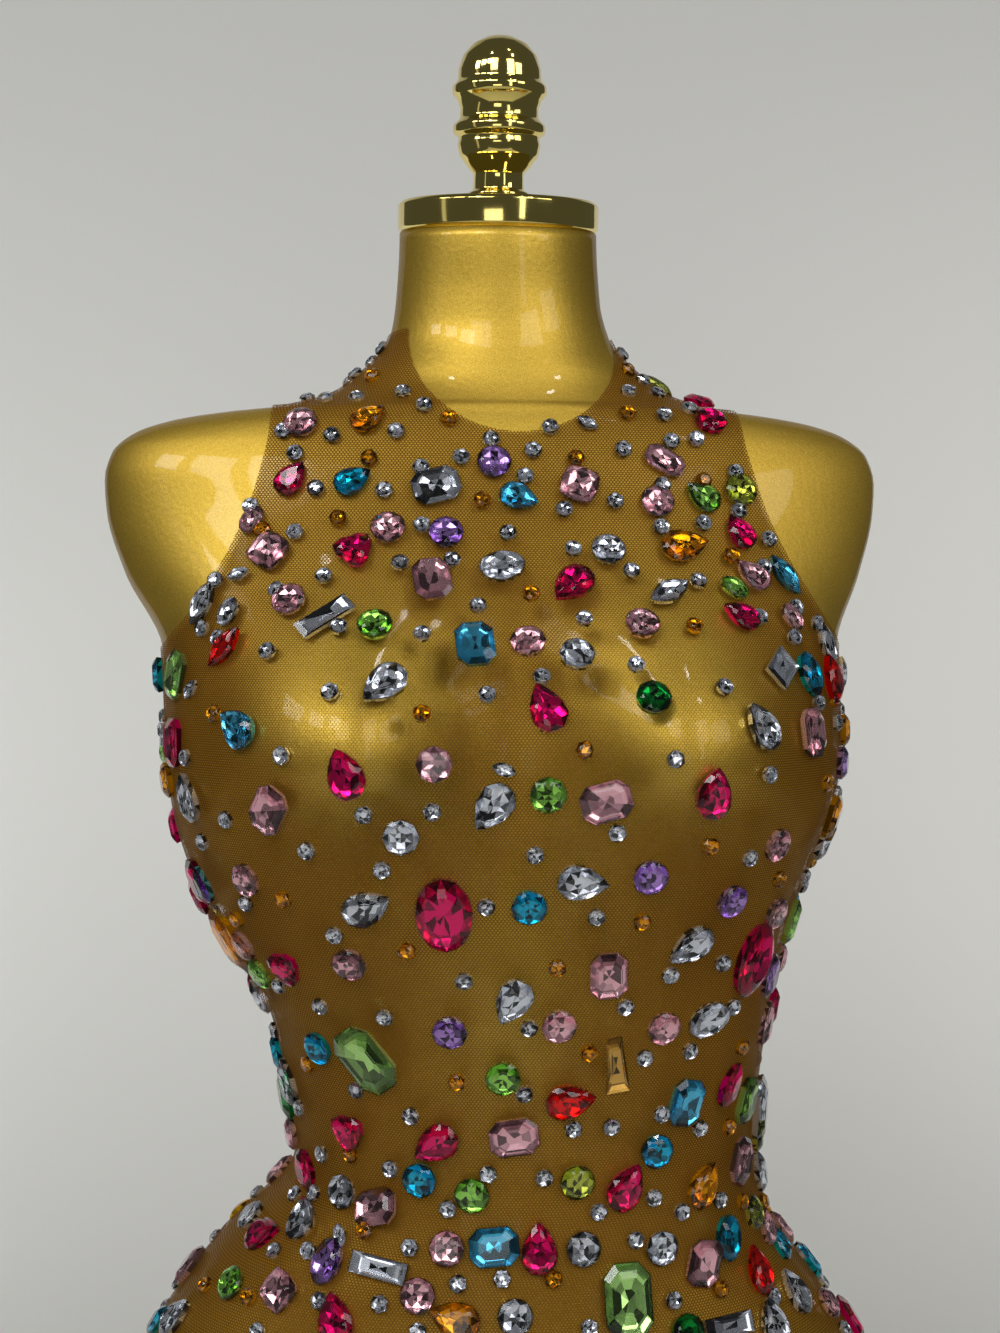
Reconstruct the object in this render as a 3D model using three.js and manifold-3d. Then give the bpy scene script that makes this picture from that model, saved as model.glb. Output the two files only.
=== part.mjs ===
// A sleeveless power-mesh bodysuit set with cut stones, worn by a limbless dress form.
// Millimetres, +Z up, the front faces -Y. The form stands on its two flat stump ends.

import * as THREE from "three";
import { mergeVertices } from "three/addons/utils/BufferGeometryUtils.js";
import Module from "manifold-3d";

const wasm = await Module();
wasm.setup();

// ---- Driving dimensions ------------------------------------------------------------

const WALL = 1.3; // thickness of the cloth's wall
const CLEAR = 0.45; // air between the form and the cloth that lies on it
const SEAM_GAP = 0.3; // between two pieces sewn edge to edge
const AXIS = { across: 0.4, back: 8.36 }; // moves the form's axis so that the part is centred

// The body of the form, one row for each level: half its width, how far its middle stands
// to the right, how deep it is in front of and behind its axis, the exponent of its oval,
// and how far the level leans forward, in degrees.
const BODY = table(`
  up    half   across front back  round lean
  0     167    0      82    86    2.4   0
  40    172    0      87    93    2.35  0
  70    175.5  0      91    100   2.3   0
  100   179    0      95    107   2.25  0
  125   181    0      98    111.5 2.2   0
  150   182    0      100.5 113.5 2.2   0
  175   180    0.5    103   113   2.2   0
  200   175.5  1      104   107   2.2   0
  233   164    1.5    101   92    2.2   0
  255   150    0      98    80    2.2   0
  281   130    0      93    65    2.2   0
  293   120.5  3.5    90.5  59.5  2.2   0
  320   106.4  11.5   87    52    2.2   0
  340   107.5  10.5   86.5  51.5  2.2   0
  384   114    9      87.5  56    2.2   0
  408   122.3  5      88.5  60    2.2   0
  435   134.5  0.5    89.5  65    2.2   0
  456   143    0      90    69    2.3   0
  482   151    1      90.5  74    2.5   0
  505   153.5  1      90.5  78    2.7   0
  552   155    0      87    85.5  2.7   0
  588   170.5  -2.5   78.5  87    2.55  0
  616   178.7  -3     71    84.5  2.4   0
  631   179.7  -3     67    82    2.4   0
  643   176.5  -3     63.5  79    2.35  0
  651   168    -3     60.5  76    2.3   0
  656.5 154    -2.5   58    73.5  2.2   0
  660   134    -2     56.5  71.5  2.1   0
  662   112    -1     55    70    2.0   0
  671   79     0      51    67    2.0   0
  678   69     0      49    65.5  2.0   0
  693   54     0      45.5  61.5  2.0   0
  702   50.5   -0.5   44.8  58.5  2.0   1
  715   48     -1     45    54.5  2.0   4
  748   46.2   -1     47.5  46    2.0   9.5
`);

// The bust's two mounds. Cloth keeps straight between them and slopes further below.
const BUST = { apart: 72, up: 508, swell: 42, side: 46, outer: 70, above: 58, below: 44 };
const CLOTH_BUST = { outer: 73, above: 62, below: 112, bridge: 0.93 };

// The gap between the two stumps, an arch run from front to back, one row for each depth.
const THIGH_GAP = table(`
  up   half high
  -150 52   84
  -104 36   72
  -60  24   64
  0    20   61
  60   24   64
  116  36   74
  150  50   86
`);

// The cloth's own soft folds: where each lies, its length, width, height and turn.
const FOLDS = table(`
  side  across up   length width high turn
  front -78    296  46     13    2.6  62
  front -66    311  40     12    2.0  48
  front 92     372  70     15    2.4  8
  front 99     402  60     13    2.0  -14
  front 88     312  62     13    2.6  -32
  front 100    292  56     12    2.2  -52
  front 2      528  96     20    1.8  6
  back  -60    306  70     15    2.6  58
  back  48     320  76     15    2.6  -66
  back  4      372  90     18    2.2  82
`);

// Edges, drawn flat on the front or the back as seen from there.
const NECK = { across: 4, up: 695, radius: 48, side: 699, nape: 706 };
const ARMHOLE = [[104, 720], [104, 655], [108.5, 628], [116, 605], [128, 582], [145, 561], [168, 550], [240, 548]];
const LEG_FRONT = [[17.5, -20], [18, 66], [30, 98], [60, 129], [108, 161], [158, 178], [240, 192]];
const LEG_BACK = [[17.5, -20], [18, 62], [32, 84], [66, 98], [108, 118], [150, 154], [178, 181], [240, 192]];
const SIDE_SEAM = 8; // how far behind the axis the side and shoulder seams lie
const GUSSET = { front: 30, back: 34, up: 84, half: 60 };

// The neck's disc and the turned knob on it: radius and height of each step.
const DISC = { radius: 47, high: 14, bevel: 1.6 };
const KNOB = [
  [14.4, 0], [14.4, 4.4], [11.8, 5.4], [11.6, 13], [14.6, 16], [18.4, 21], [19.4, 26], [18.6, 29],
  [21.6, 31], [21.6, 34.5], [18.4, 37.5], [18.1, 42], [19.6, 46], [21.9, 48.5], [21.9, 52],
  [19.4, 54.5], [19.2, 59], [17.2, 65.5], [12.8, 70.8], [6.6, 74],
];
const KNOB_TOP = 74.8;
const BUTTON = { radius: 4.5, high: 3.4, across: 7.4, up: 691 };

const REACH = 260; // past the body on every side
const COLUMNS = 36; // round the body
const TURNED = 18; // round the disc and the knob

// The cuts of the raised stones: long, wide, high, and how much of the outline its flat
// top keeps. The outline's corners are shares of half the width and half the length.
const CUTS = {
  pear: { long: 21, wide: 15.5, high: 4.4, top: 0.52, corners: [[0, 1], [0.94, -0.12],
    [0.62, -0.94], [-0.62, -0.94], [-0.94, -0.12]] },
  octagon: { long: 20, wide: 15, high: 4, top: 0.6, corners: [[0.5, 1], [1, 0.6], [1, -0.6],
    [0.5, -1], [-0.5, -1], [-1, -0.6], [-1, 0.6], [-0.5, 1]] },
  slab: { long: 30, wide: 20, high: 4.8, top: 0.62, corners: [[0.5, 1], [1, 0.6], [1, -0.6],
    [0.5, -1], [-0.5, -1], [-1, -0.6], [-1, 0.6], [-0.5, 1]] },
  oval: { long: 19, wide: 14, high: 4, top: 0.55, corners: ring(6) },
  great: { long: 30, wide: 22, high: 5.6, top: 0.55, corners: ring(8) },
  cushion: { long: 15.5, wide: 15.5, high: 4.2, top: 0.6, corners: [[0.9, 0.9], [0.9, -0.9],
    [-0.9, -0.9], [-0.9, 0.9]] },
  trilliant: { long: 16.5, wide: 16.5, high: 4, top: 0.5, corners: [[0.3, 0.95], [1, -0.55],
    [0.72, -0.9], [-0.72, -0.9], [-1, -0.55], [-0.3, 0.95]] },
  disc: { long: 14, wide: 14, high: 3.6, top: 0.55, corners: ring(6) },
};

// The raised stones of the front, laid out on a flat drawing that an eye sees from in
// front: across and down in the drawing's units, and the turn clockwise in degrees.
const DRAWING = { unit: 0.4706, across: 500, down: 666, eye: 800, up: 545, aside: 4 };
const STONES = table(`
  cut       colour  across down turn
  pear      fuchsia 291    479  28
  octagon   clear   436    486  75
  cushion   pink    579    485  20
  octagon   pink    664    461  35
  octagon   pink    269    551  15
  trilliant fuchsia 354    550  160
  octagon   pink    432    580  -8
  oval      clear   502    567  0
  pear      amber   683    546  12
  pear      fuchsia 573    584  225
  pear      pink    753    576  -20
  disc      green   375    625  0
  octagon   aqua    475    645  75
  disc      pink    528    642  0
  pear      clear   385    684  225
  disc      green   653    698  0
  oval      teal    808    674  -10
  pear      fuchsia 547    710  315
  trilliant aqua    239    728  170
  pear      clear   762    727  315
  octagon   pink    811    732  -14
  disc      pink    434    764  0
  pear      fuchsia 346    775  315
  octagon   pink    270    809  12
  pear      clear   493    805  225
  disc      lime    548    794  0
  octagon   pink    606    801  75
  pear      fuchsia 713    794  6
  disc      clear   401    836  0
  disc      pink    776    844  0
  pear      clear   366    907  45
  great     fuchsia 444    912  -24
  disc      teal    529    906  0
  pear      clear   581    881  90
  disc      purple  650    876  0
  pear      clear   691    944  225
  great     fuchsia 751    958  14
  disc      pink    350    963  0
  trilliant fuchsia 286    966  175
  octagon   pink    608    974  -6
  pear      clear   513    999  215
  oval      clear   708    1018 60
  disc      purple  450    1031 0
  disc      pink    559    1025 0
  slab      lime    367    1058 -35
  disc      green   503    1077 0
  pear      fuchsia 727    1084 10
  octagon   aqua    685    1101 12
  pear      red     569    1100 90
  trilliant fuchsia 349    1130 180
  pear      fuchsia 437    1142 225
  octagon   pink    514    1136 80
  disc      teal    656    1150 0
  octagon   pink    739    1160 25
  oval      fuchsia 308    1169 10
  disc      teal    420    1179 0
  pear      fuchsia 625    1187 30
  pear      amber   702    1185 30
  octagon   pink    377    1207 10
  disc      pink    447    1248 0
  octagon   aqua    494    1246 80
  pear      fuchsia 539    1249 0
  oval      teal    727    1237 5
  oval      purple  328    1261 8
  octagon   pink    703    1262 20
  cushion   pink    280    1290 30
  slab      lime    627    1300 0
  pear      amber   456    1319 20
  pear      fuchsia 336    1319 15
`);

// Where the drawing doesn't reach, stones lie on staggered rows in the same mix.
const SCATTER = { rise: 46, step: 47, jitter: 9, low: 118, front_high: 222, back_high: 668, edge: 13 };
const MIX = ["pear", "disc", "octagon", "oval", "pear", "trilliant", "cushion", "disc", "octagon"];

// ---- Small tools -------------------------------------------------------------------

// Reads a short table: its first line names the columns, each later line is a row.
function table(text) {
  const [head, ...lines] = text.trim().split("\n").map((line) => line.trim().split(/\s+/));
  const cell = (word) => (Number.isNaN(Number(word)) ? word : Number(word));
  return lines.map((words) => Object.fromEntries(head.map((name, i) => [name, cell(words[i])])));
}

function ring(count) {
  const corners = [];
  for (let i = 0; i < count; i += 1) {
    const turn = (2 * Math.PI * (i + 0.5)) / count;
    corners.push([Math.sin(turn) / Math.cos(Math.PI / count), Math.cos(turn) / Math.cos(Math.PI / count)]);
  }
  return corners;
}

// The value of one column at any height, on a smooth curve through the rows.
function level(rows, column, up) {
  const last = rows.length - 1;
  const at = Math.min(Math.max(up, rows[0].up), rows[last].up);
  let i = 0;
  while (i < last - 1 && rows[i + 1].up < at) i += 1;
  const slope = (k) => {
    if (k === 0 || k === last) return 0;
    const before = (rows[k][column] - rows[k - 1][column]) / (rows[k].up - rows[k - 1].up);
    const after = (rows[k + 1][column] - rows[k][column]) / (rows[k + 1].up - rows[k].up);
    return before * after <= 0 ? 0 : (2 * before * after) / (before + after);
  };
  const span = rows[i + 1].up - rows[i].up;
  const t = (at - rows[i].up) / span;
  const [a, b] = [rows[i][column], rows[i + 1][column]];
  const rise = (k) => (k === 0 ? (rows[1][column] - rows[0][column]) / (rows[1].up - rows[0].up) : slope(k));
  return a * (1 + 2 * t) * (1 - t) ** 2 + b * t * t * (3 - 2 * t)
    + span * (rise(i) * t * (1 - t) ** 2 - rise(i + 1) * t * t * (1 - t));
}

const bell = (distance, width) => Math.exp(-((distance / width) ** 2));
const power = (value, exponent) => Math.sign(value) * Math.abs(value) ** exponent;

// ---- The form's surface and the cloth's --------------------------------------------

// How far a mound stands out at a place, on the form or as the cloth lies over it.
function swell(across, up, cloth) {
  const width = cloth ? CLOTH_BUST : BUST;
  const tall = up > BUST.up ? width.above : width.below;
  const mound = (x) => bell(Math.abs(x) - BUST.apart, Math.abs(x) > BUST.apart ? width.outer : BUST.side);
  const high = BUST.swell * bell(up - BUST.up, tall);
  const own = high * mound(across);
  if (!cloth || Math.abs(across) >= BUST.apart) return own;
  return own + (high - own) * CLOTH_BUST.bridge;
}

function fold(side, across, up) {
  let out = 0;
  for (const row of FOLDS) {
    if (row.side !== side) continue;
    const turn = THREE.MathUtils.degToRad(row.turn);
    const [dx, dz] = [across - row.across, up - row.up];
    const run = dx * Math.sin(turn) + dz * Math.cos(turn);
    const off = dx * Math.cos(turn) - dz * Math.sin(turn);
    out += row.high * bell(run, row.length / 2) * bell(off, row.width);
  }
  return out;
}

// The point at one angle (0 is the right side, 270 degrees the front) and height.
function place(angle, up, cloth) {
  const value = (column) => level(BODY, column, up);
  const round = 2 / value("round");
  const across = value("half") * power(Math.cos(angle), round);
  const share = power(Math.sin(angle), round);
  let back = share * (share < 0 ? value("front") : value("back"));
  if (share < 0) back -= swell(across, up, cloth) * Math.min(1, -share * 1.6);
  const lean = Math.tan(THREE.MathUtils.degToRad(value("lean")));
  return new THREE.Vector3(across + value("across"), back, up + back * lean);
}

function outward(angle, up, cloth) {
  const [turn, rise] = [0.03, 1.5];
  const round = place(angle + turn, up, cloth).sub(place(angle - turn, up, cloth));
  const high = Math.min(Math.max(up, BODY[0].up + rise), BODY[BODY.length - 1].up - rise);
  const along = place(angle, high + rise, cloth).sub(place(angle, high - rise, cloth));
  return round.cross(along).normalize();
}

// The cloth at an angle and height, moved out from the form's side of it.
function clothPoint(angle, up, out) {
  const point = place(angle, up, true);
  const side = Math.sin(angle) < 0 ? "front" : "back";
  const normal = outward(angle, up, true);
  return point.addScaledVector(normal, out + fold(side, point.x, up) * Math.abs(Math.sin(angle)));
}

// ---- Solids ------------------------------------------------------------------------

function toSolid(geometry) {
  geometry.deleteAttribute("normal");
  geometry.deleteAttribute("uv");
  const merged = mergeVertices(geometry, 1e-4);
  return new wasm.Manifold(new wasm.Mesh({
    numProp: 3,
    vertProperties: new Float32Array(merged.attributes.position.array),
    triVerts: new Uint32Array(merged.index.array),
  }));
}

function toGeometry(solid) {
  const { vertProperties, triVerts } = solid.getMesh();
  const geometry = new THREE.BufferGeometry();
  geometry.setAttribute("position", new THREE.BufferAttribute(new Float32Array(vertProperties), 3));
  geometry.setIndex(new THREE.BufferAttribute(new Uint32Array(triVerts), 1));
  return geometry;
}

// A closed solid through rings of points, each end closed to the middle of its ring.
function loft(rings) {
  const count = rings[0].length;
  const points = rings.flat();
  const middle = (loop) => loop.reduce((sum, p) => sum.add(p), new THREE.Vector3()).divideScalar(count);
  points.push(middle(rings[0]), middle(rings[rings.length - 1]));
  const [foot, head] = [points.length - 2, points.length - 1];
  const faces = [];
  for (let i = 0; i < count; i += 1) {
    const next = (i + 1) % count;
    for (let r = 0; r < rings.length - 1; r += 1) {
      const [a, b, c, d] = [r * count + i, r * count + next, (r + 1) * count + next, (r + 1) * count + i];
      faces.push(a, b, c, a, c, d);
    }
    const top = (rings.length - 1) * count;
    faces.push(foot, next, i, head, top + i, top + next);
  }
  const geometry = new THREE.BufferGeometry().setFromPoints(points);
  geometry.setIndex(faces);
  return toSolid(geometry);
}

const angles = Array.from({ length: COLUMNS }, (_, i) => (2 * Math.PI * (i + 0.5)) / COLUMNS);
const heights = BODY.map((row) => row.up);

// The arch between the stumps, smaller by what lines it.
function thighGap(lining) {
  const steps = 12;
  const rings = THIGH_GAP.map(({ up: back, half, high }) => {
    const wide = half - lining;
    const arch = [[-wide, -REACH]];
    for (let i = 0; i <= steps; i += 1) {
      const turn = (Math.PI * i) / steps;
      arch.push([-wide * Math.cos(turn), high - half + wide * Math.sin(turn)]);
    }
    arch.push([wide, -REACH]);
    return arch.map(([x, z]) => new THREE.Vector3(x, back, z));
  });
  return loft(rings);
}

function buildForm() {
  return loft(heights.map((up) => angles.map((angle) => place(angle, up, false)))).subtract(thighGap(0));
}

// A flat outline in across and up, run through the body from one depth to another.
function prism(outline, from, to) {
  const shape = new THREE.Shape(outline.map(([x, z]) => new THREE.Vector2(x, z)));
  const geometry = new THREE.ExtrudeGeometry(shape, { depth: to - from, bevelEnabled: false });
  geometry.rotateX(Math.PI / 2).translate(0, to, 0);
  return toSolid(geometry);
}

// A cut can leave crumbs at an edge, so only the panel itself is kept.
function largest(solid) {
  const bodies = solid.decompose();
  return bodies.reduce((best, body) => (body.volume() > best.volume() ? body : best));
}

function slab(from, to) {
  const size = to.map((value, i) => value - from[i]);
  const geometry = new THREE.BoxGeometry(...size);
  geometry.translate(...from.map((value, i) => value + size[i] / 2));
  return toSolid(geometry);
}

// A smooth edge through a few corners, sampled evenly.
function edge(corners, count = 20) {
  const curve = new THREE.SplineCurve(corners.map(([x, z]) => new THREE.Vector2(x, z)));
  return curve.getPoints(count).map((point) => [point.x, point.y]);
}

// The cloth's flat facets are what its stones sit on: the point of the facet at a place.
function facetPoint(angle, up, out) {
  const step = (2 * Math.PI) / COLUMNS;
  const column = (angle - angles[0]) / step;
  const first = angles[0] + step * Math.floor(column);
  const row = Math.max(0, heights.findLastIndex((height) => height <= up));
  const [low, high] = [heights[row], heights[row + 1]];
  const [u, v] = [(angle - first) / step, (up - low) / (high - low)];
  const [a, c] = [clothPoint(first, low, out), clothPoint(first + step, high, out)];
  if (u >= v) {
    const b = clothPoint(first + step, low, out);
    return a.clone().addScaledVector(b.clone().sub(a), u).addScaledVector(c.sub(b), v);
  }
  const d = clothPoint(first, high, out);
  return a.clone().addScaledVector(d.clone().sub(a), v).addScaledVector(c.sub(d), u);
}

const mirrored = (outline) => outline.map(([x, z]) => [-x, z]).reverse();
function cloth() {
  const worn = heights.filter((up) => up < NECK.nape + 12);
  const skin = (out) => loft(worn.map((up) => angles.map((angle) => clothPoint(angle, up, out))));
  const inside = skin(CLEAR).subtract(thighGap(CLEAR));
  let shell = skin(CLEAR + WALL).subtract(thighGap(CLEAR + WALL)).subtract(inside);
  const arm = [...edge(ARMHOLE), [240, 720]];
  const legFront = [...edge(LEG_FRONT), [240, -20]];
  const legBack = [...edge(LEG_BACK), [240, -20]];
  const cuts = [
    prism(arm, -REACH, REACH), prism(mirrored(arm), -REACH, REACH),
    prism(legFront, -REACH, SIDE_SEAM), prism(mirrored(legFront), -REACH, SIDE_SEAM),
    prism(legBack, SIDE_SEAM, REACH), prism(mirrored(legBack), SIDE_SEAM, REACH),
    slab([-REACH, -REACH, NECK.side], [REACH, SIDE_SEAM, NECK.nape + REACH]),
  ];
  const scoop = [];
  const steps = 28;
  for (let i = 0; i <= steps; i += 1) {
    const turn = (Math.PI * i) / steps;
    scoop.push([NECK.across - NECK.radius * Math.cos(turn), NECK.up - NECK.radius * Math.sin(turn)]);
  }
  cuts.push(prism([...scoop, [NECK.across + NECK.radius, 760], [NECK.across - NECK.radius, 760]], -REACH, 0));
  const nape = new THREE.BoxGeometry(2 * REACH, REACH, REACH);
  nape.translate(0, REACH / 2, REACH / 2);
  nape.rotateX(Math.atan2(NECK.nape - NECK.side, 60));
  nape.translate(0, SIDE_SEAM, NECK.side);
  cuts.push(toSolid(nape));
  for (const cut of cuts) shell = shell.subtract(cut);
  return { shell, inside };
}

// ---- Stones ------------------------------------------------------------------------

// The angle and height on the cloth that the drawing's eye sees at one of its places.
function seen(across, down) {
  const aside = THREE.MathUtils.degToRad(DRAWING.aside);
  const eye = new THREE.Vector3(-Math.sin(aside), -Math.cos(aside), 0).multiplyScalar(DRAWING.eye);
  const right = new THREE.Vector3(Math.cos(aside), -Math.sin(aside), 0);
  const target = right.multiplyScalar((across - DRAWING.across) * DRAWING.unit);
  target.z = (DRAWING.down - down) * DRAWING.unit;
  const ray = target.sub(eye);
  const hit = (t) => {
    const point = eye.clone().addScaledVector(ray, t);
    const up = point.z + DRAWING.up;
    const half = level(BODY, "half", up) + CLEAR + WALL;
    const share = (point.x - level(BODY, "across", up)) / half;
    if (Math.abs(share) >= 1) return null;
    const angle = -Math.acos(power(share, level(BODY, "round", up) / 2));
    return { gap: clothPoint(angle, up, WALL).y - point.y, angle, up };
  };
  let [near, far] = [0.7, 1.02];
  for (let t = near; t < far; t += 0.004) {
    const found = hit(t);
    if (found && found.gap <= 0) {
      far = t;
      near = t - 0.004;
      break;
    }
  }
  for (let i = 0; i < 16; i += 1) {
    const middle = (near + far) / 2;
    const found = hit(middle);
    if (found && found.gap <= 0) far = middle;
    else near = middle;
  }
  return hit(far);
}

const SUNK = 0.95; // how deep a stone's outline lies in the wall

// One stone: its outline a little inside the wall, and its flat top above it.
function stone(cut, angle, up, turn) {
  const { long, wide, high, top, corners } = CUTS[cut];
  const normal = outward(angle, up, true);
  const base = facetPoint(angle, up, CLEAR + WALL);
  const upright = new THREE.Vector3(0, 0, 1).addScaledVector(normal, -normal.z).normalize();
  const side = upright.clone().cross(normal);
  const spin = THREE.MathUtils.degToRad(turn);
  const at = (x, y, out) => base.clone().addScaledVector(normal, out)
    .addScaledVector(side, x * Math.cos(spin) + y * Math.sin(spin))
    .addScaledVector(upright, y * Math.cos(spin) - x * Math.sin(spin));
  const loop = (scale, out) => corners.map(([x, y]) => at((x * wide * scale) / 2, (y * long * scale) / 2, out));
  const points = [...loop(1, -SUNK), ...loop(top, high)];
  const count = corners.length;
  const faces = [];
  for (let i = 0; i < count; i += 1) {
    const next = (i + 1) % count;
    faces.push(i, count + next, next, i, count + i, count + next);
    if (i > 0 && i < count - 1) faces.push(0, i, i + 1, count, count + i + 1, count + i);
  }
  const geometry = new THREE.BufferGeometry().setFromPoints(points);
  geometry.setIndex(faces);
  return toSolid(geometry);
}


// Whether a place lies on the cloth, clear of its edges and seams by a margin.
function onCloth(point, front, margin) {
  const x = Math.abs(point.x);
  const below = (corners, value) => {
    for (let i = 0; i < corners.length - 1; i += 1) {
      const [a, b] = [corners[i], corners[i + 1]];
      if (value >= Math.min(a[0], b[0]) && value <= Math.max(a[0], b[0]) && a[0] !== b[0]) {
        return a[1] + ((b[1] - a[1]) * (value - a[0])) / (b[0] - a[0]);
      }
    }
    return null;
  };
  const arm = below(edge(ARMHOLE), x + margin * 0.8);
  if (arm !== null && x + margin * 0.8 > 104 && point.z > arm - margin) return false;
  const leg = below(edge(front ? LEG_FRONT : LEG_BACK), x);
  if (leg === null || point.z < leg + margin) return false;
  if (front && Math.hypot(point.x - NECK.across, point.z - NECK.up) < NECK.radius + margin) return false;
  if (!front && (x < margin || point.z > NECK.side - margin - 14)) return false;
  return front ? point.y < SIDE_SEAM - margin : point.y > SIDE_SEAM + margin;
}

function layStones() {
  const laid = [];
  for (const row of STONES) {
    const found = seen(row.across, row.down);
    if (!found) continue;
    const point = clothPoint(found.angle, found.up, 0);
    if (onCloth(point, true, CUTS[row.cut].wide * 0.42)) laid.push({ ...row, ...found, side: "front" });
  }
  let draw = 0;
  for (let up = SCATTER.low, line = 0; up < SCATTER.back_high; up += SCATTER.rise, line += 1) {
    const half = level(BODY, "half", up);
    const count = Math.round((Math.PI * half * 1.7) / (2 * SCATTER.step)) * 2;
    for (let i = 0; i < count; i += 1) {
      draw += 1;
      const [first, second] = [(draw * 0.618034) % 1, (draw * 0.754878) % 1];
      const angle = (2 * Math.PI * (i + (line % 2) / 2 + (first - 0.5) * 0.42)) / count;
      const high = up + (second - 0.5) * 2 * SCATTER.jitter;
      const front = Math.sin(angle) < 0;
      if (front && high > SCATTER.front_high) continue;
      const cut = MIX[draw % MIX.length];
      if (!onCloth(clothPoint(angle, high, 0), front, SCATTER.edge)) continue;
      laid.push({ cut, angle, up: high, turn: 360 * first, side: front ? "front" : "back" });
    }
  }
  return laid;
}

// ---- The pieces --------------------------------------------------------------------

const model = new THREE.Group();

function add(name, geometry, material, parent = model) {
  const mesh = new THREE.Mesh(geometry, material);
  mesh.name = name;
  parent.add(mesh);
  return mesh;
}

const goldPaint = () => new THREE.MeshStandardMaterial({ color: 0xc39a35, roughness: 0.42, metalness: 0.7 });
const goldPlate = () => new THREE.MeshStandardMaterial({ color: 0xc9bd4a, roughness: 0.08, metalness: 1 });
const mesh = () => new THREE.MeshStandardMaterial({ color: 0x8a6224, roughness: 0.8, metalness: 0 });

function addForm() {
  add("form", toGeometry(buildForm()), goldPaint());
}

// The body's disc and knob stand on the neck's leaning top.
function addNeckTop() {
  const top = BODY[BODY.length - 1];
  const group = new THREE.Group();
  const lean = THREE.MathUtils.degToRad(top.lean);
  group.position.set(top.across, (top.back - top.front) / 2, top.up);
  group.position.z += group.position.y * Math.tan(lean);
  group.rotation.x = lean;
  model.add(group);
  const turned = (outline) => {
    const points = outline.map(([radius, up]) => new THREE.Vector2(radius, up));
    return new THREE.LatheGeometry(points, TURNED).rotateX(Math.PI / 2);
  };
  const { radius, high, bevel } = DISC;
  const disc = [
    [0, 0], [radius - bevel, 0], [radius, bevel], [radius, high - bevel], [radius - bevel, high], [0, high],
  ];
  const knob = [[0, 0], ...KNOB, [0, KNOB_TOP]];
  const lift = SEAM_GAP / Math.cos(lean);
  add("neck_cap", turned(disc), goldPlate(), group).position.z = lift;
  add("finial", turned(knob), goldPlate(), group).position.z = lift + high + SEAM_GAP;
}

function addCloth() {
  const { shell, inside } = cloth();
  const gap = SEAM_GAP / 2;
  const { front, back, up, half } = GUSSET;
  const crotch = (grow) => slab([-half, -front - grow, 0], [half, back + grow, up + grow]);
  const pieces = {
    front: shell.intersect(slab([-REACH, -REACH, 0], [REACH, SIDE_SEAM - gap, 800])).subtract(crotch(gap)),
    back_right: shell.intersect(slab([gap, SIDE_SEAM + gap, 0], [REACH, REACH, 800])).subtract(crotch(gap)),
    back_left: shell.intersect(slab([-REACH, SIDE_SEAM + gap, 0], [-gap, REACH, 800])).subtract(crotch(gap)),
    gusset: shell.intersect(crotch(-gap)),
  };
  const stones = layStones();
  for (const [name, panel] of Object.entries(pieces)) {
    const mine = stones.filter(({ side, angle }) => {
      if (side === "front") return name === "front";
      return name === (Math.cos(angle) > 0 ? "back_right" : "back_left");
    });
    const set = mine.map(({ cut, angle, up: high, turn }) => stone(cut, angle, high, turn));
    const whole = wasm.Manifold.union([panel, ...set]).subtract(inside);
    add(name, toGeometry(largest(whole)), mesh());
  }
}

function addButton() {
  const { radius, high } = BUTTON;
  const outline = [[0, 0], [radius * 0.8, 0], [radius, high * 0.3], [radius * 0.85, high * 0.75], [0, high]];
  const points = outline.map(([r, z]) => new THREE.Vector2(r, z));
  const button = add("nape_button", new THREE.LatheGeometry(points, 12), goldPlate());
  const width = level(BODY, "half", BUTTON.up);
  const angle = Math.acos(BUTTON.across / width);
  const normal = outward(angle, BUTTON.up, true);
  button.position.copy(clothPoint(angle, BUTTON.up, CLEAR + WALL + SEAM_GAP));
  button.quaternion.setFromUnitVectors(new THREE.Vector3(0, 1, 0), normal);
}

addForm();
addNeckTop();
addCloth();
addButton();
model.position.set(AXIS.across, AXIS.back, 0);

export default model;
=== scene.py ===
# A sleeveless power-mesh bodysuit set with cut stones, on a gold limbless dress form.
# Metres, +Z up, the front faces -Y; the form stands on its two flat stump ends.

import math

import bmesh
import bpy
import numpy as np
from mathutils import Matrix, Vector


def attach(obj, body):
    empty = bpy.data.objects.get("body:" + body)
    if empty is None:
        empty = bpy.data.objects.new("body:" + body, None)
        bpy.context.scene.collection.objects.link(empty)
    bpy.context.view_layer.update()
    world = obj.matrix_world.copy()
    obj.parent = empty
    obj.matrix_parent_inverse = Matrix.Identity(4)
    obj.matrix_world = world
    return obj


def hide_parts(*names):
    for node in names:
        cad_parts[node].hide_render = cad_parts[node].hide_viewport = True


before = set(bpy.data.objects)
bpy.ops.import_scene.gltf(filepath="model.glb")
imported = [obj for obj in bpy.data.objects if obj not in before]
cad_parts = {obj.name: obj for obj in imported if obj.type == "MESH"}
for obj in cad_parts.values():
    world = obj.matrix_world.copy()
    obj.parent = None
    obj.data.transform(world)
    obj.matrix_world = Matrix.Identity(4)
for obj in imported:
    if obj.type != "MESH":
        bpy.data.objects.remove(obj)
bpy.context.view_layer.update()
scene = bpy.context.scene

# ---- Camera ------------------------------------------------------------------------
# The view is level, at chest height, from a little to the left of straight in front.
# The focal length is stated over the long side of the picture.

MM = 0.001
AXIS = Vector((0.4, 8.36, 0)) * MM  # the form's own axis in the part's frame
EYE_HEIGHT = 545 * MM
EYE_DISTANCE = 800 * MM
EYE_ASIDE = math.radians(4)
PICTURE = (1000, 1333)
FOCAL_PIXELS = 1700

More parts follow.
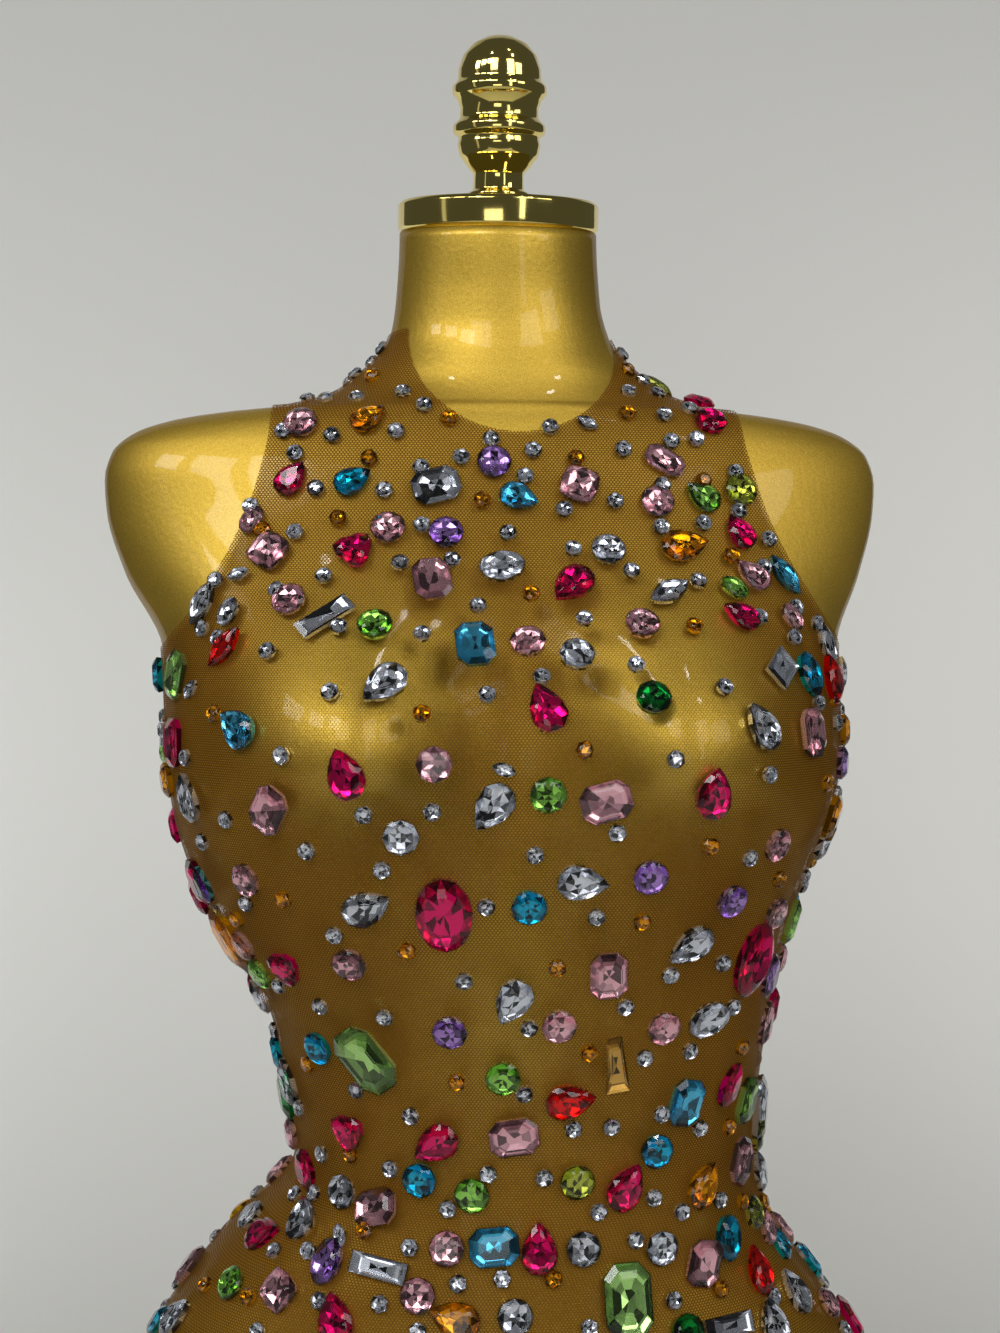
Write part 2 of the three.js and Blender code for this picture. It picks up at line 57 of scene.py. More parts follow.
camera_data = bpy.data.cameras.new("camera")
camera_data.sensor_width = 36
camera_data.lens = FOCAL_PIXELS * camera_data.sensor_width / PICTURE[1]
camera = bpy.data.objects.new("camera", camera_data)
scene.collection.objects.link(camera)
eye = AXIS + Vector((-math.sin(EYE_ASIDE), -math.cos(EYE_ASIDE), 0)) * EYE_DISTANCE
eye.z = EYE_HEIGHT
camera.location = eye
camera.rotation_euler = (math.pi / 2, 0, -EYE_ASIDE)
scene.camera = camera

# ---- The dress form ----------------------------------------------------------------
# A hollow moulded torso with no limbs, smooth all over, sprayed with gold pearl paint.
# It is lofted through level ovals, with two mounds for the bust, and its stumps are
# parted by an arch. The paint has a fine orange peel and a metallic flake.

BODY_ROWS = """
  up    half   across front back  round lean
  0     167    0      82    86    2.4   0
  40    172    0      87    93    2.35  0
  70    175.5  0      91    100   2.3   0
  100   179    0      95    107   2.25  0
  125   181    0      98    111.5 2.2   0
  150   182    0      100.5 113.5 2.2   0
  175   180    0.5    103   113   2.2   0
  200   175.5  1      104   107   2.2   0
  233   164    1.5    101   92    2.2   0
  255   150    0      98    80    2.2   0
  281   130    0      93    65    2.2   0
  293   120.5  3.5    90.5  59.5  2.2   0
  320   106.4  11.5   87    52    2.2   0
  340   107.5  10.5   86.5  51.5  2.2   0
  384   114    9      87.5  56    2.2   0
  408   122.3  5      88.5  60    2.2   0
  435   134.5  0.5    89.5  65    2.2   0
  456   143    0      90    69    2.3   0
  482   151    1      90.5  74    2.5   0
  505   153.5  1      90.5  78    2.7   0
  552   155    0      87    85.5  2.7   0
  588   170.5  -2.5   78.5  87    2.55  0
  616   178.7  -3     71    84.5  2.4   0
  631   179.7  -3     67    82    2.4   0
  643   176.5  -3     63.5  79    2.35  0
  651   168    -3     60.5  76    2.3   0
  656.5 154    -2.5   58    73.5  2.2   0
  660   134    -2     56.5  71.5  2.1   0
  662   112    -1     55    70    2.0   0
  671   79     0      51    67    2.0   0
  678   69     0      49    65.5  2.0   0
  693   54     0      45.5  61.5  2.0   0
  702   50.5   -0.5   44.8  58.5  2.0   1
  715   48     -1     45    54.5  2.0   4
  748   46.2   -1     47.5  46    2.0   9.5
"""
# The gap between the stumps, from front to back: its up column is the depth.
THIGH_GAP_ROWS = """
  up   half high
  -150 52   84
  -104 36   72
  -60  24   64
  0    20   61
  60   24   64
  116  36   74
  150  50   86
"""
BUST = {"apart": 72, "up": 508, "swell": 42, "side": 46, "outer": 70, "above": 58, "below": 44,
        "fade": 1.6}
CLOTH_BUST = {"outer": 73, "above": 62, "below": 112, "bridge": 0.93}


def table(text):
    """Reads a short table: its first line names the columns, each later line is a row."""
    head, *lines = [line.split() for line in text.strip().splitlines()]

    def cell(word):
        return word if word[0].isalpha() else float(word)

    return [{name: cell(word) for name, word in zip(head, line)} for line in lines]


def smooth_level(rows, column, up):
    """One column's value at any height, on a smooth curve through the rows."""
    last = len(rows) - 1
    at = min(max(up, rows[0]["up"]), rows[last]["up"])
    i = 0
    while i < last - 1 and rows[i + 1]["up"] < at:
        i += 1

    def rise(k):
        low, high = max(k - 1, 0), min(k + 1, last)
        slopes = []
        for a, b in ((low, k), (k, high)):
            if a != b:
                slopes.append((rows[b][column] - rows[a][column]) / (rows[b]["up"] - rows[a]["up"]))
        if len(slopes) == 1:
            return slopes[0] if k == 0 else 0.0
        before, after = slopes
        return 0.0 if before * after <= 0 else 2 * before * after / (before + after)

    span = rows[i + 1]["up"] - rows[i]["up"]
    t = (at - rows[i]["up"]) / span
    a, b = rows[i][column], rows[i + 1][column]
    return (
        a * (1 + 2 * t) * (1 - t) ** 2
        + b * t * t * (3 - 2 * t)
        + span * (rise(i) * t * (1 - t) ** 2 - rise(i + 1) * t * t * (1 - t))
    )


BODY = table(BODY_ROWS)
COLUMNS = ("half", "across", "front", "back", "round", "lean")
levels = {}


def level(up):
    """Every column of the body's table at a height, kept once worked out."""
    if up not in levels:
        levels[up] = {name: smooth_level(BODY, name, up) for name in COLUMNS}
    return levels[up]


def bell(distance, width):
    """Falls smoothly from 1 in the middle to next to nothing two widths away."""
    return math.exp(-((distance / width) ** 2))


def power(value, exponent):
    """A power that keeps the sign of its value."""
    return math.copysign(abs(value) ** exponent, value)


def swell(across, up, cloth):
    """How far a mound of the bust stands out, on the form or as cloth lies over it."""
    width = CLOTH_BUST if cloth else BUST
    tall = width["above"] if up > BUST["up"] else width["below"]
    side = width["outer"] if abs(across) > BUST["apart"] else BUST["side"]
    high = BUST["swell"] * bell(up - BUST["up"], tall)
    own = high * bell(abs(across) - BUST["apart"], side)
    if not cloth or abs(across) >= BUST["apart"]:
        return own
    return own + (high - own) * CLOTH_BUST["bridge"]


def body_point(angle, up, cloth=False):
    """The place in mm at an angle (0 is the right side, -90 degrees the front)."""
    row = level(up)
    across = row["half"] * power(math.cos(angle), 2 / row["round"])
    share = power(math.sin(angle), 2 / row["round"])
    back = share * (row["front"] if share < 0 else row["back"])
    if share < 0:
        back -= swell(across, up, cloth) * min(1, -share * BUST["fade"])
    lean = math.tan(math.radians(row["lean"]))
    return Vector((across + row["across"], back, up + back * lean))


def outward(angle, up, cloth=False):
    """The way out from the body there, from places a small turn and rise to each side."""
    turn, rise = 0.03, 1.5
    high = min(max(up, BODY[0]["up"] + rise), BODY[-1]["up"] - rise)
    round_body = body_point(angle + turn, up, cloth) - body_point(angle - turn, up, cloth)
    along = body_point(angle, high + rise, cloth) - body_point(angle, high - rise, cloth)
    return round_body.cross(along).normalized()


def placed(point):
    """A place in mm about the form's axis, in the part's frame."""
    return point * MM + AXIS


def new_piece(name, bm, materials, smooth=True):
    """Turns a bmesh into a piece that stands on its own and rides on the part."""
    mesh = bpy.data.meshes.new(name)
    bm.to_mesh(mesh)
    bm.free()
    for material in materials:
        mesh.materials.append(material)
    for face in mesh.polygons:
        face.use_smooth = smooth
    piece = bpy.data.objects.new(name, mesh)
    scene.collection.objects.link(piece)
    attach(piece, "root")
    return piece


def modify(piece, kind, **settings):
    """Adds a modifier, applies it at once and keeps its result as the piece's mesh."""
    modifier = piece.modifiers.new(kind, kind)
    for key, value in settings.items():
        setattr(modifier, key, value)
    worked_out = piece.evaluated_get(bpy.context.evaluated_depsgraph_get())
    mesh = bpy.data.meshes.new_from_object(worked_out)
    piece.modifiers.clear()
    old, piece.data = piece.data, mesh
    bpy.data.meshes.remove(old)


class Nodes:
    """A material's node tree, with short calls for adding and joining its nodes."""

    def __init__(self, name):
        self.material = bpy.data.materials.new(name)
        self.material.use_nodes = True
        self.tree = self.material.node_tree
        self.shader = self.tree.nodes["Principled BSDF"]

    def add(self, kind, inputs=None, **settings):
        node = self.tree.nodes.new(kind)
        for key, value in settings.items():
            setattr(node, key, value)
        for key, value in (inputs or {}).items():
            self.set(node.inputs[key], value)
        return node

    def set(self, socket, value):
        if isinstance(value, bpy.types.NodeSocket):
            self.tree.links.new(value, socket)
        else:
            socket.default_value = value

    def noise(self, scale, detail):
        """Noise over the object's own coordinates, at so many waves to the metre."""
        place = self.add("ShaderNodeTexCoord").outputs["Object"]
        return self.add("ShaderNodeTexNoise", {
            "Vector": place, "Scale": scale, "Detail": detail}).outputs["Fac"]

    def mapped(self, value, low, high, low_out, high_out):
        """A value carried over from one range to another, and held at its ends."""
        sockets = {"Value": value, "From Min": low, "From Max": high,
                   "To Min": low_out, "To Max": high_out}
        return self.add("ShaderNodeMapRange", sockets).outputs["Result"]

    def ramp(self, factor, stops):
        """A colour ramp through stops of (position, colour), from low to high."""
        node = self.add("ShaderNodeValToRGB", {"Fac": factor})
        elements = node.color_ramp.elements
        for i, (position, colour) in enumerate(stops):
            element = elements[i] if i < 2 else elements.new(position)
            element.position = position
            element.color = (*colour, 1)
        return node.outputs["Color"]

    def bump(self, height, strength, distance):
        return self.add("ShaderNodeBump", {
            "Height": height, "Strength": strength, "Distance": distance}).outputs["Normal"]

    def finish(self, **sockets):
        """Sets or joins the shader's own sockets, named with _ for each space."""
        for name, value in sockets.items():
            self.set(self.shader.inputs[name.replace("_", " ")], value)
        return self.material


def gold_paint():
    """Gold pearl: a fine flake in two tones, an uneven gloss and an orange peel."""
    nodes = Nodes("gold_paint")
    flake, cloud, peel = nodes.noise(2600.0, 2.0), nodes.noise(9.0, 3.0), nodes.noise(420.0, 2.5)
    tone = nodes.ramp(flake, [(0.36, (0.63, 0.41, 0.045)), (0.66, (0.93, 0.64, 0.115))])
    return nodes.finish(
        Base_Color=tone, Metallic=0.92, Roughness=nodes.mapped(cloud, 0.3, 0.7, 0.46, 0.56),
        Normal=nodes.bump(peel, 0.22, 0.0006), Specular_Tint=(0.05, 0.035, 0.01, 1),
        Coat_Weight=0.4, Coat_Roughness=0.05)


def grid(bm, columns, rows):
    """Adds a grid and gives each of its vertices with its column and its row."""
    bmesh.ops.create_grid(bm, x_segments=columns, y_segments=rows, size=1)
    for vert in bm.verts:
        yield vert, round((vert.co.x + 1) / 2 * columns), round((vert.co.y + 1) / 2 * rows)


def tube(bm, around, steps, point):
    """A closed tube through rings, made from a grid whose two sides are joined."""
    for vert, column, row in grid(bm, around, len(steps) - 1):
        vert.co = point(2 * math.pi * column / around, steps[row])
    bmesh.ops.remove_doubles(bm, verts=bm.verts, dist=1e-6)


SHOULDER = {"up": 660, "near": 8, "near_step": 0.16, "far": 20, "far_step": 0.4}


def even_heights(low, high, step):
    """Levels through the body, close together where the shoulder lies nearly flat."""
    heights = [low]
    while heights[-1] < high:
        off = abs(heights[-1] - SHOULDER["up"])
        close = 1
        if off < SHOULDER["far"]:
            close = SHOULDER["near_step"] if off < SHOULDER["near"] else SHOULDER["far_step"]
        heights.append(min(heights[-1] + step * close, high))
    return heights


FORM_AROUND = 160
FORM_STEP = 4.5
form_bm = bmesh.new()
form_heights = even_heights(BODY[0]["up"], BODY[-1]["up"], FORM_STEP)
tube(form_bm, FORM_AROUND, form_heights, lambda a, up: placed(body_point(a, up)))
bmesh.ops.holes_fill(form_bm, edges=form_bm.edges, sides=0)
bmesh.ops.recalc_face_normals(form_bm, faces=form_bm.faces)
dress_form = new_piece("dress_form", form_bm, [gold_paint()])

ARCH = {"around": 24, "along": 30, "floor": -60}
gap_rows = table(THIGH_GAP_ROWS)


def gap_size(depth):
    """Half the width and the height of the gap between the stumps, at a depth."""
    return smooth_level(gap_rows, "half", depth), smooth_level(gap_rows, "high", depth)


def arch_point(step, depth):
    """A place on the arch between the stumps, whose two ends reach below the floor."""
    half, high = gap_size(depth)
    if step in (0, ARCH["around"]):
        return Vector((-half if step == 0 else half, depth, ARCH["floor"]))
    turn = math.pi * (step - 1) / (ARCH["around"] - 2)
    return Vector((-half * math.cos(turn), depth, high - half + half * math.sin(turn)))


arch_bm = bmesh.new()
for vert, step, row in grid(arch_bm, ARCH["around"], ARCH["along"]):
    depth = gap_rows[0]["up"] + (gap_rows[-1]["up"] - gap_rows[0]["up"]) * row / ARCH["along"]
    vert.co = placed(arch_point(step, depth))
bmesh.ops.contextual_create(arch_bm, geom=[e for e in arch_bm.edges if e.is_boundary])
bmesh.ops.holes_fill(arch_bm, edges=arch_bm.edges, sides=0)
bmesh.ops.recalc_face_normals(arch_bm, faces=arch_bm.faces)
arch_tool = new_piece("arch_tool", arch_bm, [])
modify(dress_form, "BOOLEAN", operation="DIFFERENCE", object=arch_tool, solver="EXACT")
bpy.data.objects.remove(arch_tool)
# All is smooth but the two flat ends that it stands on.
for face in dress_form.data.polygons:
    face.use_smooth = abs(face.normal.z) < 0.985 or face.center.z > 10 * MM
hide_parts("form")

# ---- Disc and finial ---------------------------------------------------------------
# The neck is closed by a thick polished disc, and a turned knob stands on its middle.
# Both are spun metal, plated a greenish gold. They lean with the neck's own top.

DISC = {"radius": 47, "high": 14, "bevel": 1.6}
KNOB_STEPS = [
    (14.4, 0), (14.4, 4.4), (11.8, 5.4), (11.6, 13), (14.6, 16), (18.4, 21), (19.4, 26),
    (18.6, 29), (21.6, 31), (21.6, 34.5), (18.4, 37.5), (18.1, 42), (19.6, 46), (21.9, 48.5),
    (21.9, 52), (19.4, 54.5), (19.2, 59), (17.2, 65.5), (12.8, 70.8), (6.6, 74), (0, 74.8),
]
SEAT_GAP = 0.3
top = level(BODY[-1]["up"])
lean = math.radians(top["lean"])
neck_top = Vector((top["across"], (top["back"] - top["front"]) / 2, BODY[-1]["up"]))
neck_top.z += neck_top.y * math.tan(lean)


def gold_plate():
    """Greenish gold plate with a faint haze in its polish."""
    nodes = Nodes("gold_plate")
    rough = nodes.mapped(nodes.noise(40.0, 4.0), 0.35, 0.7, 0.05, 0.12)
    return nodes.finish(Base_Color=(0.82, 0.66, 0.20, 1), Metallic=1.0, Roughness=rough)


def spun(name, steps, around, place, material, smooth=True):
    """Spins an outline of (radius, height) steps in mm about its axis, then puts it in place."""
    def spot(turn, step):
        radius, up = step
        return Vector((radius * math.cos(turn), radius * math.sin(turn), up)) * MM

    bm = bmesh.new()
    tube(bm, around, steps, spot)
    bmesh.ops.recalc_face_normals(bm, faces=bm.faces)
    bmesh.ops.transform(bm, matrix=place, verts=bm.verts)
    return new_piece(name, bm, [material], smooth=smooth)


def turned(name, steps, lift, rounding):
    """A plated turning on the neck's leaning axis, with its edges rounded, in mm."""
    along = Vector((0, -math.sin(lean), math.cos(lean)))
    place = Matrix.Translation(placed(neck_top + along * lift)) @ Matrix.Rotation(lean, 4, "X")
    piece = spun(name, steps, 96, place, plate)
    bevel = piece.modifiers.new("rounding", "BEVEL")
    bevel.width = rounding * MM
    bevel.segments = 3
    bevel.angle_limit = math.radians(25)
    return piece


plate = gold_plate()
disc_steps = [
    (0, 0), (DISC["radius"] - DISC["bevel"], 0), (DISC["radius"], DISC["bevel"]),
    (DISC["radius"], DISC["high"] - DISC["bevel"]),
    (DISC["radius"] - DISC["bevel"], DISC["high"]), (0, DISC["high"]),
]
neck_disc = turned("neck_disc", disc_steps, SEAT_GAP, 0.5)
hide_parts("neck_cap")
knob = turned("turned_knob", [(0, 0)] + KNOB_STEPS, DISC["high"] + 2 * SEAT_GAP, 0.9)
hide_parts("finial")

# ---- The mesh panels ---------------------------------------------------------------
# Front, two backs and gusset are cut from tan hexagonal power mesh, stretched over the
# form and joined edge to edge with fine flat seams. The cloth bridges the bust and lies
# in soft puckers at the waist. Cut edges are left raw. The net follows the cloth's UV.

WALL = 1.3
CLEAR = 0.45
CLOTH_OUT = CLEAR + 0.6  # the net lies in the middle of the solid's wall
CLOTH_STEP = 3.2
CLOTH_LOW = 60
NET_PITCH = 1.5
NET_ROWS = 1.02
HOLE_SHARES = (0.52, 0.87)  # how much of a cell is hole, slack and pulled tight
SIDE_SEAM = 8
SEAM_GAP = 0.3
NECK = {"across": 4, "up": 695, "radius": 48, "side": 699, "nape": 706, "nape_run": 60}
# Cut edges, as corners across and up that a smooth line runs through.
ARMHOLE = [(104, 720), (104, 655), (108.5, 628), (116, 605), (128, 582), (145, 561), (168, 550),
           (240, 548)]
LEG_FRONT = [(17.5, -20), (18, 66), (30, 98), (60, 129), (108, 161), (158, 178), (240, 192)]
LEG_BACK = [(17.5, -20), (18, 62), (32, 84), (66, 98), (108, 118), (150, 154), (178, 181),
            (240, 192)]
GUSSET = {"front": 30, "back": 34, "half": 17.5}
FOLDS = table("""
  side  across up   length width high turn
  front -78    296  46     13    2.6  62
  front -66    311  40     12    2.0  48
  front 92     372  70     15    2.4  8
  front 99     402  60     13    2.0  -14
  front 88     312  62     13    2.6  -32
  front 100    292  56     12    2.2  -52
  front 2      528  96     20    1.8  6
  back  -60    306  70     15    2.6  58
  back  48     320  76     15    2.6  -66
  back  4      372  90     18    2.2  82
""")
# Finer creases than the solids hold: troughs have a height below nothing.
CREASES = table("""
  side  across up   length width high turn
  front -92    304  34     3.6   -2.6 70
  front -88    294  40     3.4   1.8  62
  front -84    286  44     4.2   -2.4 56
  front -76    292  40     3.2   1.7  48
  front -70    302  38     3.4   -2.4 40
  front -96    318  26     3.2   -1.8 84
  front -74    322  30     4.0   1.6  58
  front -62    318  36     3.4   -1.6 30
  front 78     400  64     4.6   -2.0 6
  front 86     384  72     4.0   1.8  -4
  front 95     366  58     3.8   -2.2 10
  front 103    398  50     3.4   -1.8 -8
  front 82     330  40     4.2   -1.9 -30
  front 94     304  54     4.0   -2.6 -40
  front 84     292  60     4.4   2.0  -52
  front 104    280  46     3.8   -2.0 -60
  front 70     284  48     5.0   -1.5 -64
  front -6     556  120    7.0   -0.7 3
  front 13     548  110    6.0   0.6  -6
  front 26     520  90     5.0   -0.5 -10
  back  -52    312  60     4.4   -1.3 62
  back  -66    294  48     4.0   1.0  48
  back  -40    326  56     4.6   -1.1 78
  back  42     312  64     4.4   -1.3 -58
  back  60     330  50     4.0   1.0  -72
  back  30     300  52     4.6   -1.0 -80
  back  0      348  88     5.0   -1.1 86
  back  6      366  70     4.4   0.9  94
""")


def fold(rows, side, across, up):
    """How far the folds of one side stand out there: each is a ridge about its own line."""
    out = 0.0
    for row in rows:
        if row["side"] != side:
            continue
        dx, dz = across - row["across"], up - row["up"]
        if abs(dx) + abs(dz) > 3 * row["length"]:
            continue
        turn = math.radians(row["turn"])
        run = dx * math.sin(turn) + dz * math.cos(turn)
        off = dx * math.cos(turn) - dz * math.sin(turn)
        out += row["high"] * bell(run, row["length"] / 2) * bell(off, row["width"])
    return out


def cloth_point(angle, up, out):
    """A place on the cloth in mm, moved out from the form's side of it."""
    point = body_point(angle, up, True)
    side = "front" if math.sin(angle) < 0 else "back"
    facing = abs(math.sin(angle))
    raised = fold(FOLDS, side, point.x, up) * facing
    fine = max(fold(CREASES, side, point.x, up) * facing, -raised - 0.3)
    return point + outward(angle, up, True) * (out + raised + fine)


def power_mesh():
    """Hexagonal knit net: threads between small holes, from two staggered lattices."""
    pitch, rows_apart = NET_PITCH * MM, NET_ROWS * MM
    nodes = Nodes("power_mesh")
    flat_uv = nodes.add("ShaderNodeUVMap", uv_map="cloth").outputs["UV"]
    repeat = (pitch, pitch * math.sqrt(3), 1)
    half = (pitch / 2, pitch * math.sqrt(3) / 2, 0)

    def vector(operation, *values, output="Vector"):
        node = nodes.add("ShaderNodeVectorMath", operation=operation)
        for socket, value in zip(node.inputs, values):
            nodes.set(socket, value)
        return node.outputs[output]

    def scalar(operation, *values):
        node = nodes.add("ShaderNodeMath", operation=operation)
        for socket, value in zip(node.inputs, values):
            nodes.set(socket, value)
        return node.outputs[0]

    uv = vector("MULTIPLY", flat_uv, (1, pitch * math.sqrt(3) / 2 / rows_apart, 1))
    far = vector("ADD", uv, (pitch * 1000, pitch * 1000 * math.sqrt(3), 0))
    first = vector("SUBTRACT", vector("MODULO", far, repeat), half)
    second = vector("SUBTRACT", vector("MODULO", vector("SUBTRACT", far, half), repeat), half)
    flat = (1, 1, 0)
    first = vector("MULTIPLY", first, flat)
    second = vector("MULTIPLY", second, flat)
    nearer = scalar("LESS_THAN", vector("LENGTH", first, output="Value"),
                    vector("LENGTH", second, output="Value"))
    cell = nodes.add("ShaderNodeMix", {"Factor": nearer}, data_type="VECTOR")
    nodes.set(cell.inputs[4], second)
    nodes.set(cell.inputs[5], first)
    from_middle = vector("ABSOLUTE", cell.outputs[1])
    slant = vector("DOT_PRODUCT", from_middle, (0.5, math.sqrt(3) / 2, 0), output="Value")
    straight = nodes.add("ShaderNodeSeparateXYZ", {"Vector": from_middle}).outputs["X"]
    reach = scalar("DIVIDE", scalar("MAXIMUM", slant, straight), pitch / 2)
    # Where a bulge pulls the cloth tight, its holes open and its threads are thin and dark.
    pulled = nodes.add("ShaderNodeAttribute", attribute_name="pulled").outputs["Fac"]
    hole = nodes.mapped(pulled, 0.0, 1.0, *HOLE_SHARES)
    thread = nodes.mapped(reach, hole, scalar("ADD", hole, 0.05), 0.0, 1.0)
    thinned = scalar("MULTIPLY", scalar("MULTIPLY", pulled, pulled), 0.36)
    shade = scalar("SUBTRACT", nodes.noise(14.0, 4.0), thinned)
    tone = nodes.ramp(shade, [(0.08, (0.080, 0.033, 0.003)), (0.3, (0.190, 0.080, 0.007)),
                              (0.7, (0.255, 0.112, 0.010))])
    return nodes.finish(Base_Color=tone, Alpha=thread, Normal=nodes.bump(reach, 0.5, 0.0002),
                        Roughness=0.62, Specular_IOR_Level=0.05)


def edge_curve(corners, count=64):
    """A smooth edge through a few corners, as a Catmull-Rom curve."""
    points = []
    for i in range(len(corners) - 1):
        p0, p1 = corners[max(i - 1, 0)], corners[i]
        p2, p3 = corners[i + 1], corners[min(i + 2, len(corners) - 1)]
        for k in range(count // (len(corners) - 1)):
            t = k * (len(corners) - 1) / count
            points.append(tuple(
                0.5 * (2 * b + (c - a) * t + (2 * a - 5 * b + 4 * c - d) * t * t
                       + (3 * b - a - 3 * c + d) * t ** 3)
                for a, b, c, d in zip(p0, p1, p2, p3)))
    return points + [corners[-1]]


def inside_by(places, outline):
    """How far inside a flat outline each place lies, and less than nothing outside."""
    places = np.asarray(places, dtype=float)
    nearest = np.full(len(places), 1e9)
    within = np.zeros(len(places), dtype=bool)
    loop = list(outline)
    for (ax, az), (bx, bz) in zip(loop, loop[1:] + loop[:1]):
        run = np.array([bx - ax, bz - az])
        offset = places - np.array([ax, az])
        share = np.clip(offset @ run / max(run @ run, 1e-12), 0, 1)
        nearest = np.minimum(nearest, np.linalg.norm(offset - share[:, None] * run, axis=1))
        crosses = (az > places[:, 1]) != (bz > places[:, 1])
        safe = bz - az if bz != az else 1e-12
        at = ax + (places[:, 1] - az) * (bx - ax) / safe
        within ^= crosses & (places[:, 0] < at)
    return np.where(within, nearest, -nearest)


def trim(bm, keep):
    """Cuts the cloth along the line where keep is nothing, and drops what lies beyond."""
    least = 1e-3
    local = [(vert.co - AXIS) / MM for vert in bm.verts]
    values = dict(zip(bm.verts, keep(local)))
    for vert, value in values.items():
        if abs(value) < least:
            values[vert] = least
    added = set()
    for line in list(bm.edges):
        a, b = line.verts
        if (values[a] > 0) != (values[b] > 0):
            share = values[a] / (values[a] - values[b])
            _, vert = bmesh.utils.edge_split(line, a, share)
            added.add(vert)
    for face in list(bm.faces):
        cut = [vert for vert in face.verts if vert in added]
        if len(cut) == 2 and not any(set(cut) == set(line.verts) for line in face.edges):
            bmesh.utils.face_split(face, cut[0], cut[1])
    gone = [vert for vert, value in values.items() if value < 0]
    bmesh.ops.delete(bm, geom=gone, context="VERTS")


def trim_where(bm, inside):
    """Cuts the cloth by a measure of one place in mm, and keeps where it is above nothing."""
    trim(bm, lambda places: [inside(p) for p in places])


def outside_of(outline, sides=(1, -1), depth=None):
    """Keeps what lies outside an outline in across and up, on one or both sides."""
    def keep(places):
        best = np.full(len(places), 1e9)
        for side in sides:
            best = np.minimum(best, -inside_by([(side * p.x, p.z) for p in places], outline))
        if depth is not None:
            best = np.where([depth(p) for p in places], best, 1e3)
        return best
    return keep


# Each outline is closed by corners that lie well outside the cloth.
arm_outline = edge_curve(ARMHOLE) + [(240, 720)]
leg_front_outline = edge_curve(LEG_FRONT) + [(240, -20)]
leg_back_outline = edge_curve(LEG_BACK) + [(240, -20)]
SCOOP_STEPS = 64
scoop_outline = []
for i in range(SCOOP_STEPS + 1):
    turn = math.pi * i / SCOOP_STEPS
    scoop_outline.append((NECK["across"] - NECK["radius"] * math.cos(turn),
                          NECK["up"] - NECK["radius"] * math.sin(turn)))
scoop_outline += [(NECK["across"] + NECK["radius"], 760), (NECK["across"] - NECK["radius"], 760)]
nape_slope = (NECK["nape"] - NECK["side"]) / NECK["nape_run"]

net = power_mesh()
CLOTH_AROUND = 240
MIDDLE_FRONT = -math.pi / 2


def pulled_tight(point):
    """From 0, where the net stands off the form, to 1, where a bulge pulls it open.

    Each part has its own strength, its place in mm and how far it reaches from there.
    """
    bust = bell(abs(point.x) - 62, 52) * bell(point.z - 528, 58) if point.y < 0 else 0.0
    belly = 0.75 * bell(point.x, 46) * bell(point.z - 400, 66)
    hips = 0.55 / (1 + math.exp((point.z - 268) / 14))
    chest = 0.3 * bell(point.z - 640, 60)
    back = 0.45 if point.y > 0 and point.z > 340 else 0.0
    return min(1.0, 1.3 * bust + belly + hips + chest + back)


def panel_grid(first, last, low, high, step):
    """Cloth between two angles and two heights, with its thread count in its UV."""
    bm = bmesh.new()
    tight = bm.verts.layers.float.new("pulled")
    heights = even_heights(low, high, step)
    around = max(8, round(CLOTH_AROUND * (last - first) / (2 * math.pi)))
    uv_layer = bm.loops.layers.uv.new("cloth")
    spots = {}
    for vert, column, row in grid(bm, around, len(heights) - 1):
        angle = first + (last - first) * column / around
        spot = cloth_point(angle, heights[row], CLOTH_OUT)
        vert.co = placed(spot)
        vert[tight] = pulled_tight(spot)
        spots[(column, row)] = vert
    laid = {}
    middle = around // 2
    height = 0.0
    for row in range(len(heights)):
        if row:
            height += (spots[(middle, row)].co - spots[(middle, row - 1)].co).length
        laid[spots[(middle, row)]] = (0.0, height)
        for side in (1, -1):
            run = 0.0
            column = middle
            while 0 <= column + side <= around:
                run += (spots[(column + side, row)].co - spots[(column, row)].co).length
                column += side
                laid[spots[(column, row)]] = (side * run, height)
    for face in bm.faces:
        for loop in face.loops:
            loop[uv_layer].uv = laid[loop.vert]
    return bm


def common_cuts(bm):
    """The armholes, the legs and the lower edge, which the front and the backs share."""
    trim(bm, outside_of(arm_outline))
    trim(bm, outside_of(leg_front_outline, depth=lambda p: p.y < SIDE_SEAM))
    trim(bm, outside_of(leg_back_outline, depth=lambda p: p.y >= SIDE_SEAM))
    trim_where(bm, lambda p: p.z - gap_size(p.y)[1] + CLEAR)


def make_front():
    """The front, from a little behind both side seams, cut back to them."""
    bm = panel_grid(-math.pi - 0.2, 0.2, CLOTH_LOW, 704, CLOTH_STEP)
    trim_where(bm, lambda p: SIDE_SEAM - SEAM_GAP / 2 - p.y)
    trim_where(bm, lambda p: NECK["side"] - p.z)
    trim(bm, outside_of(scoop_outline, sides=(1,)))
    common_cuts(bm)
    return bm


def make_back(side):
    """One back, from before its side seam to past the middle, cut back to both seams."""
    past_middle, before_seam = 0.12, 0.35
    first = math.pi / 2 - past_middle if side < 0 else -before_seam
    last = first + math.pi / 2 + past_middle + before_seam
    bm = panel_grid(first, last, CLOTH_LOW, 712, CLOTH_STEP)
    trim_where(bm, lambda p: p.y - SIDE_SEAM - SEAM_GAP / 2)
    trim_where(bm, lambda p: side * p.x - SEAM_GAP / 2)
    trim_where(bm, lambda p: NECK["side"] + nape_slope * (p.y - SIDE_SEAM) - p.z)
    common_cuts(bm)
    return bm


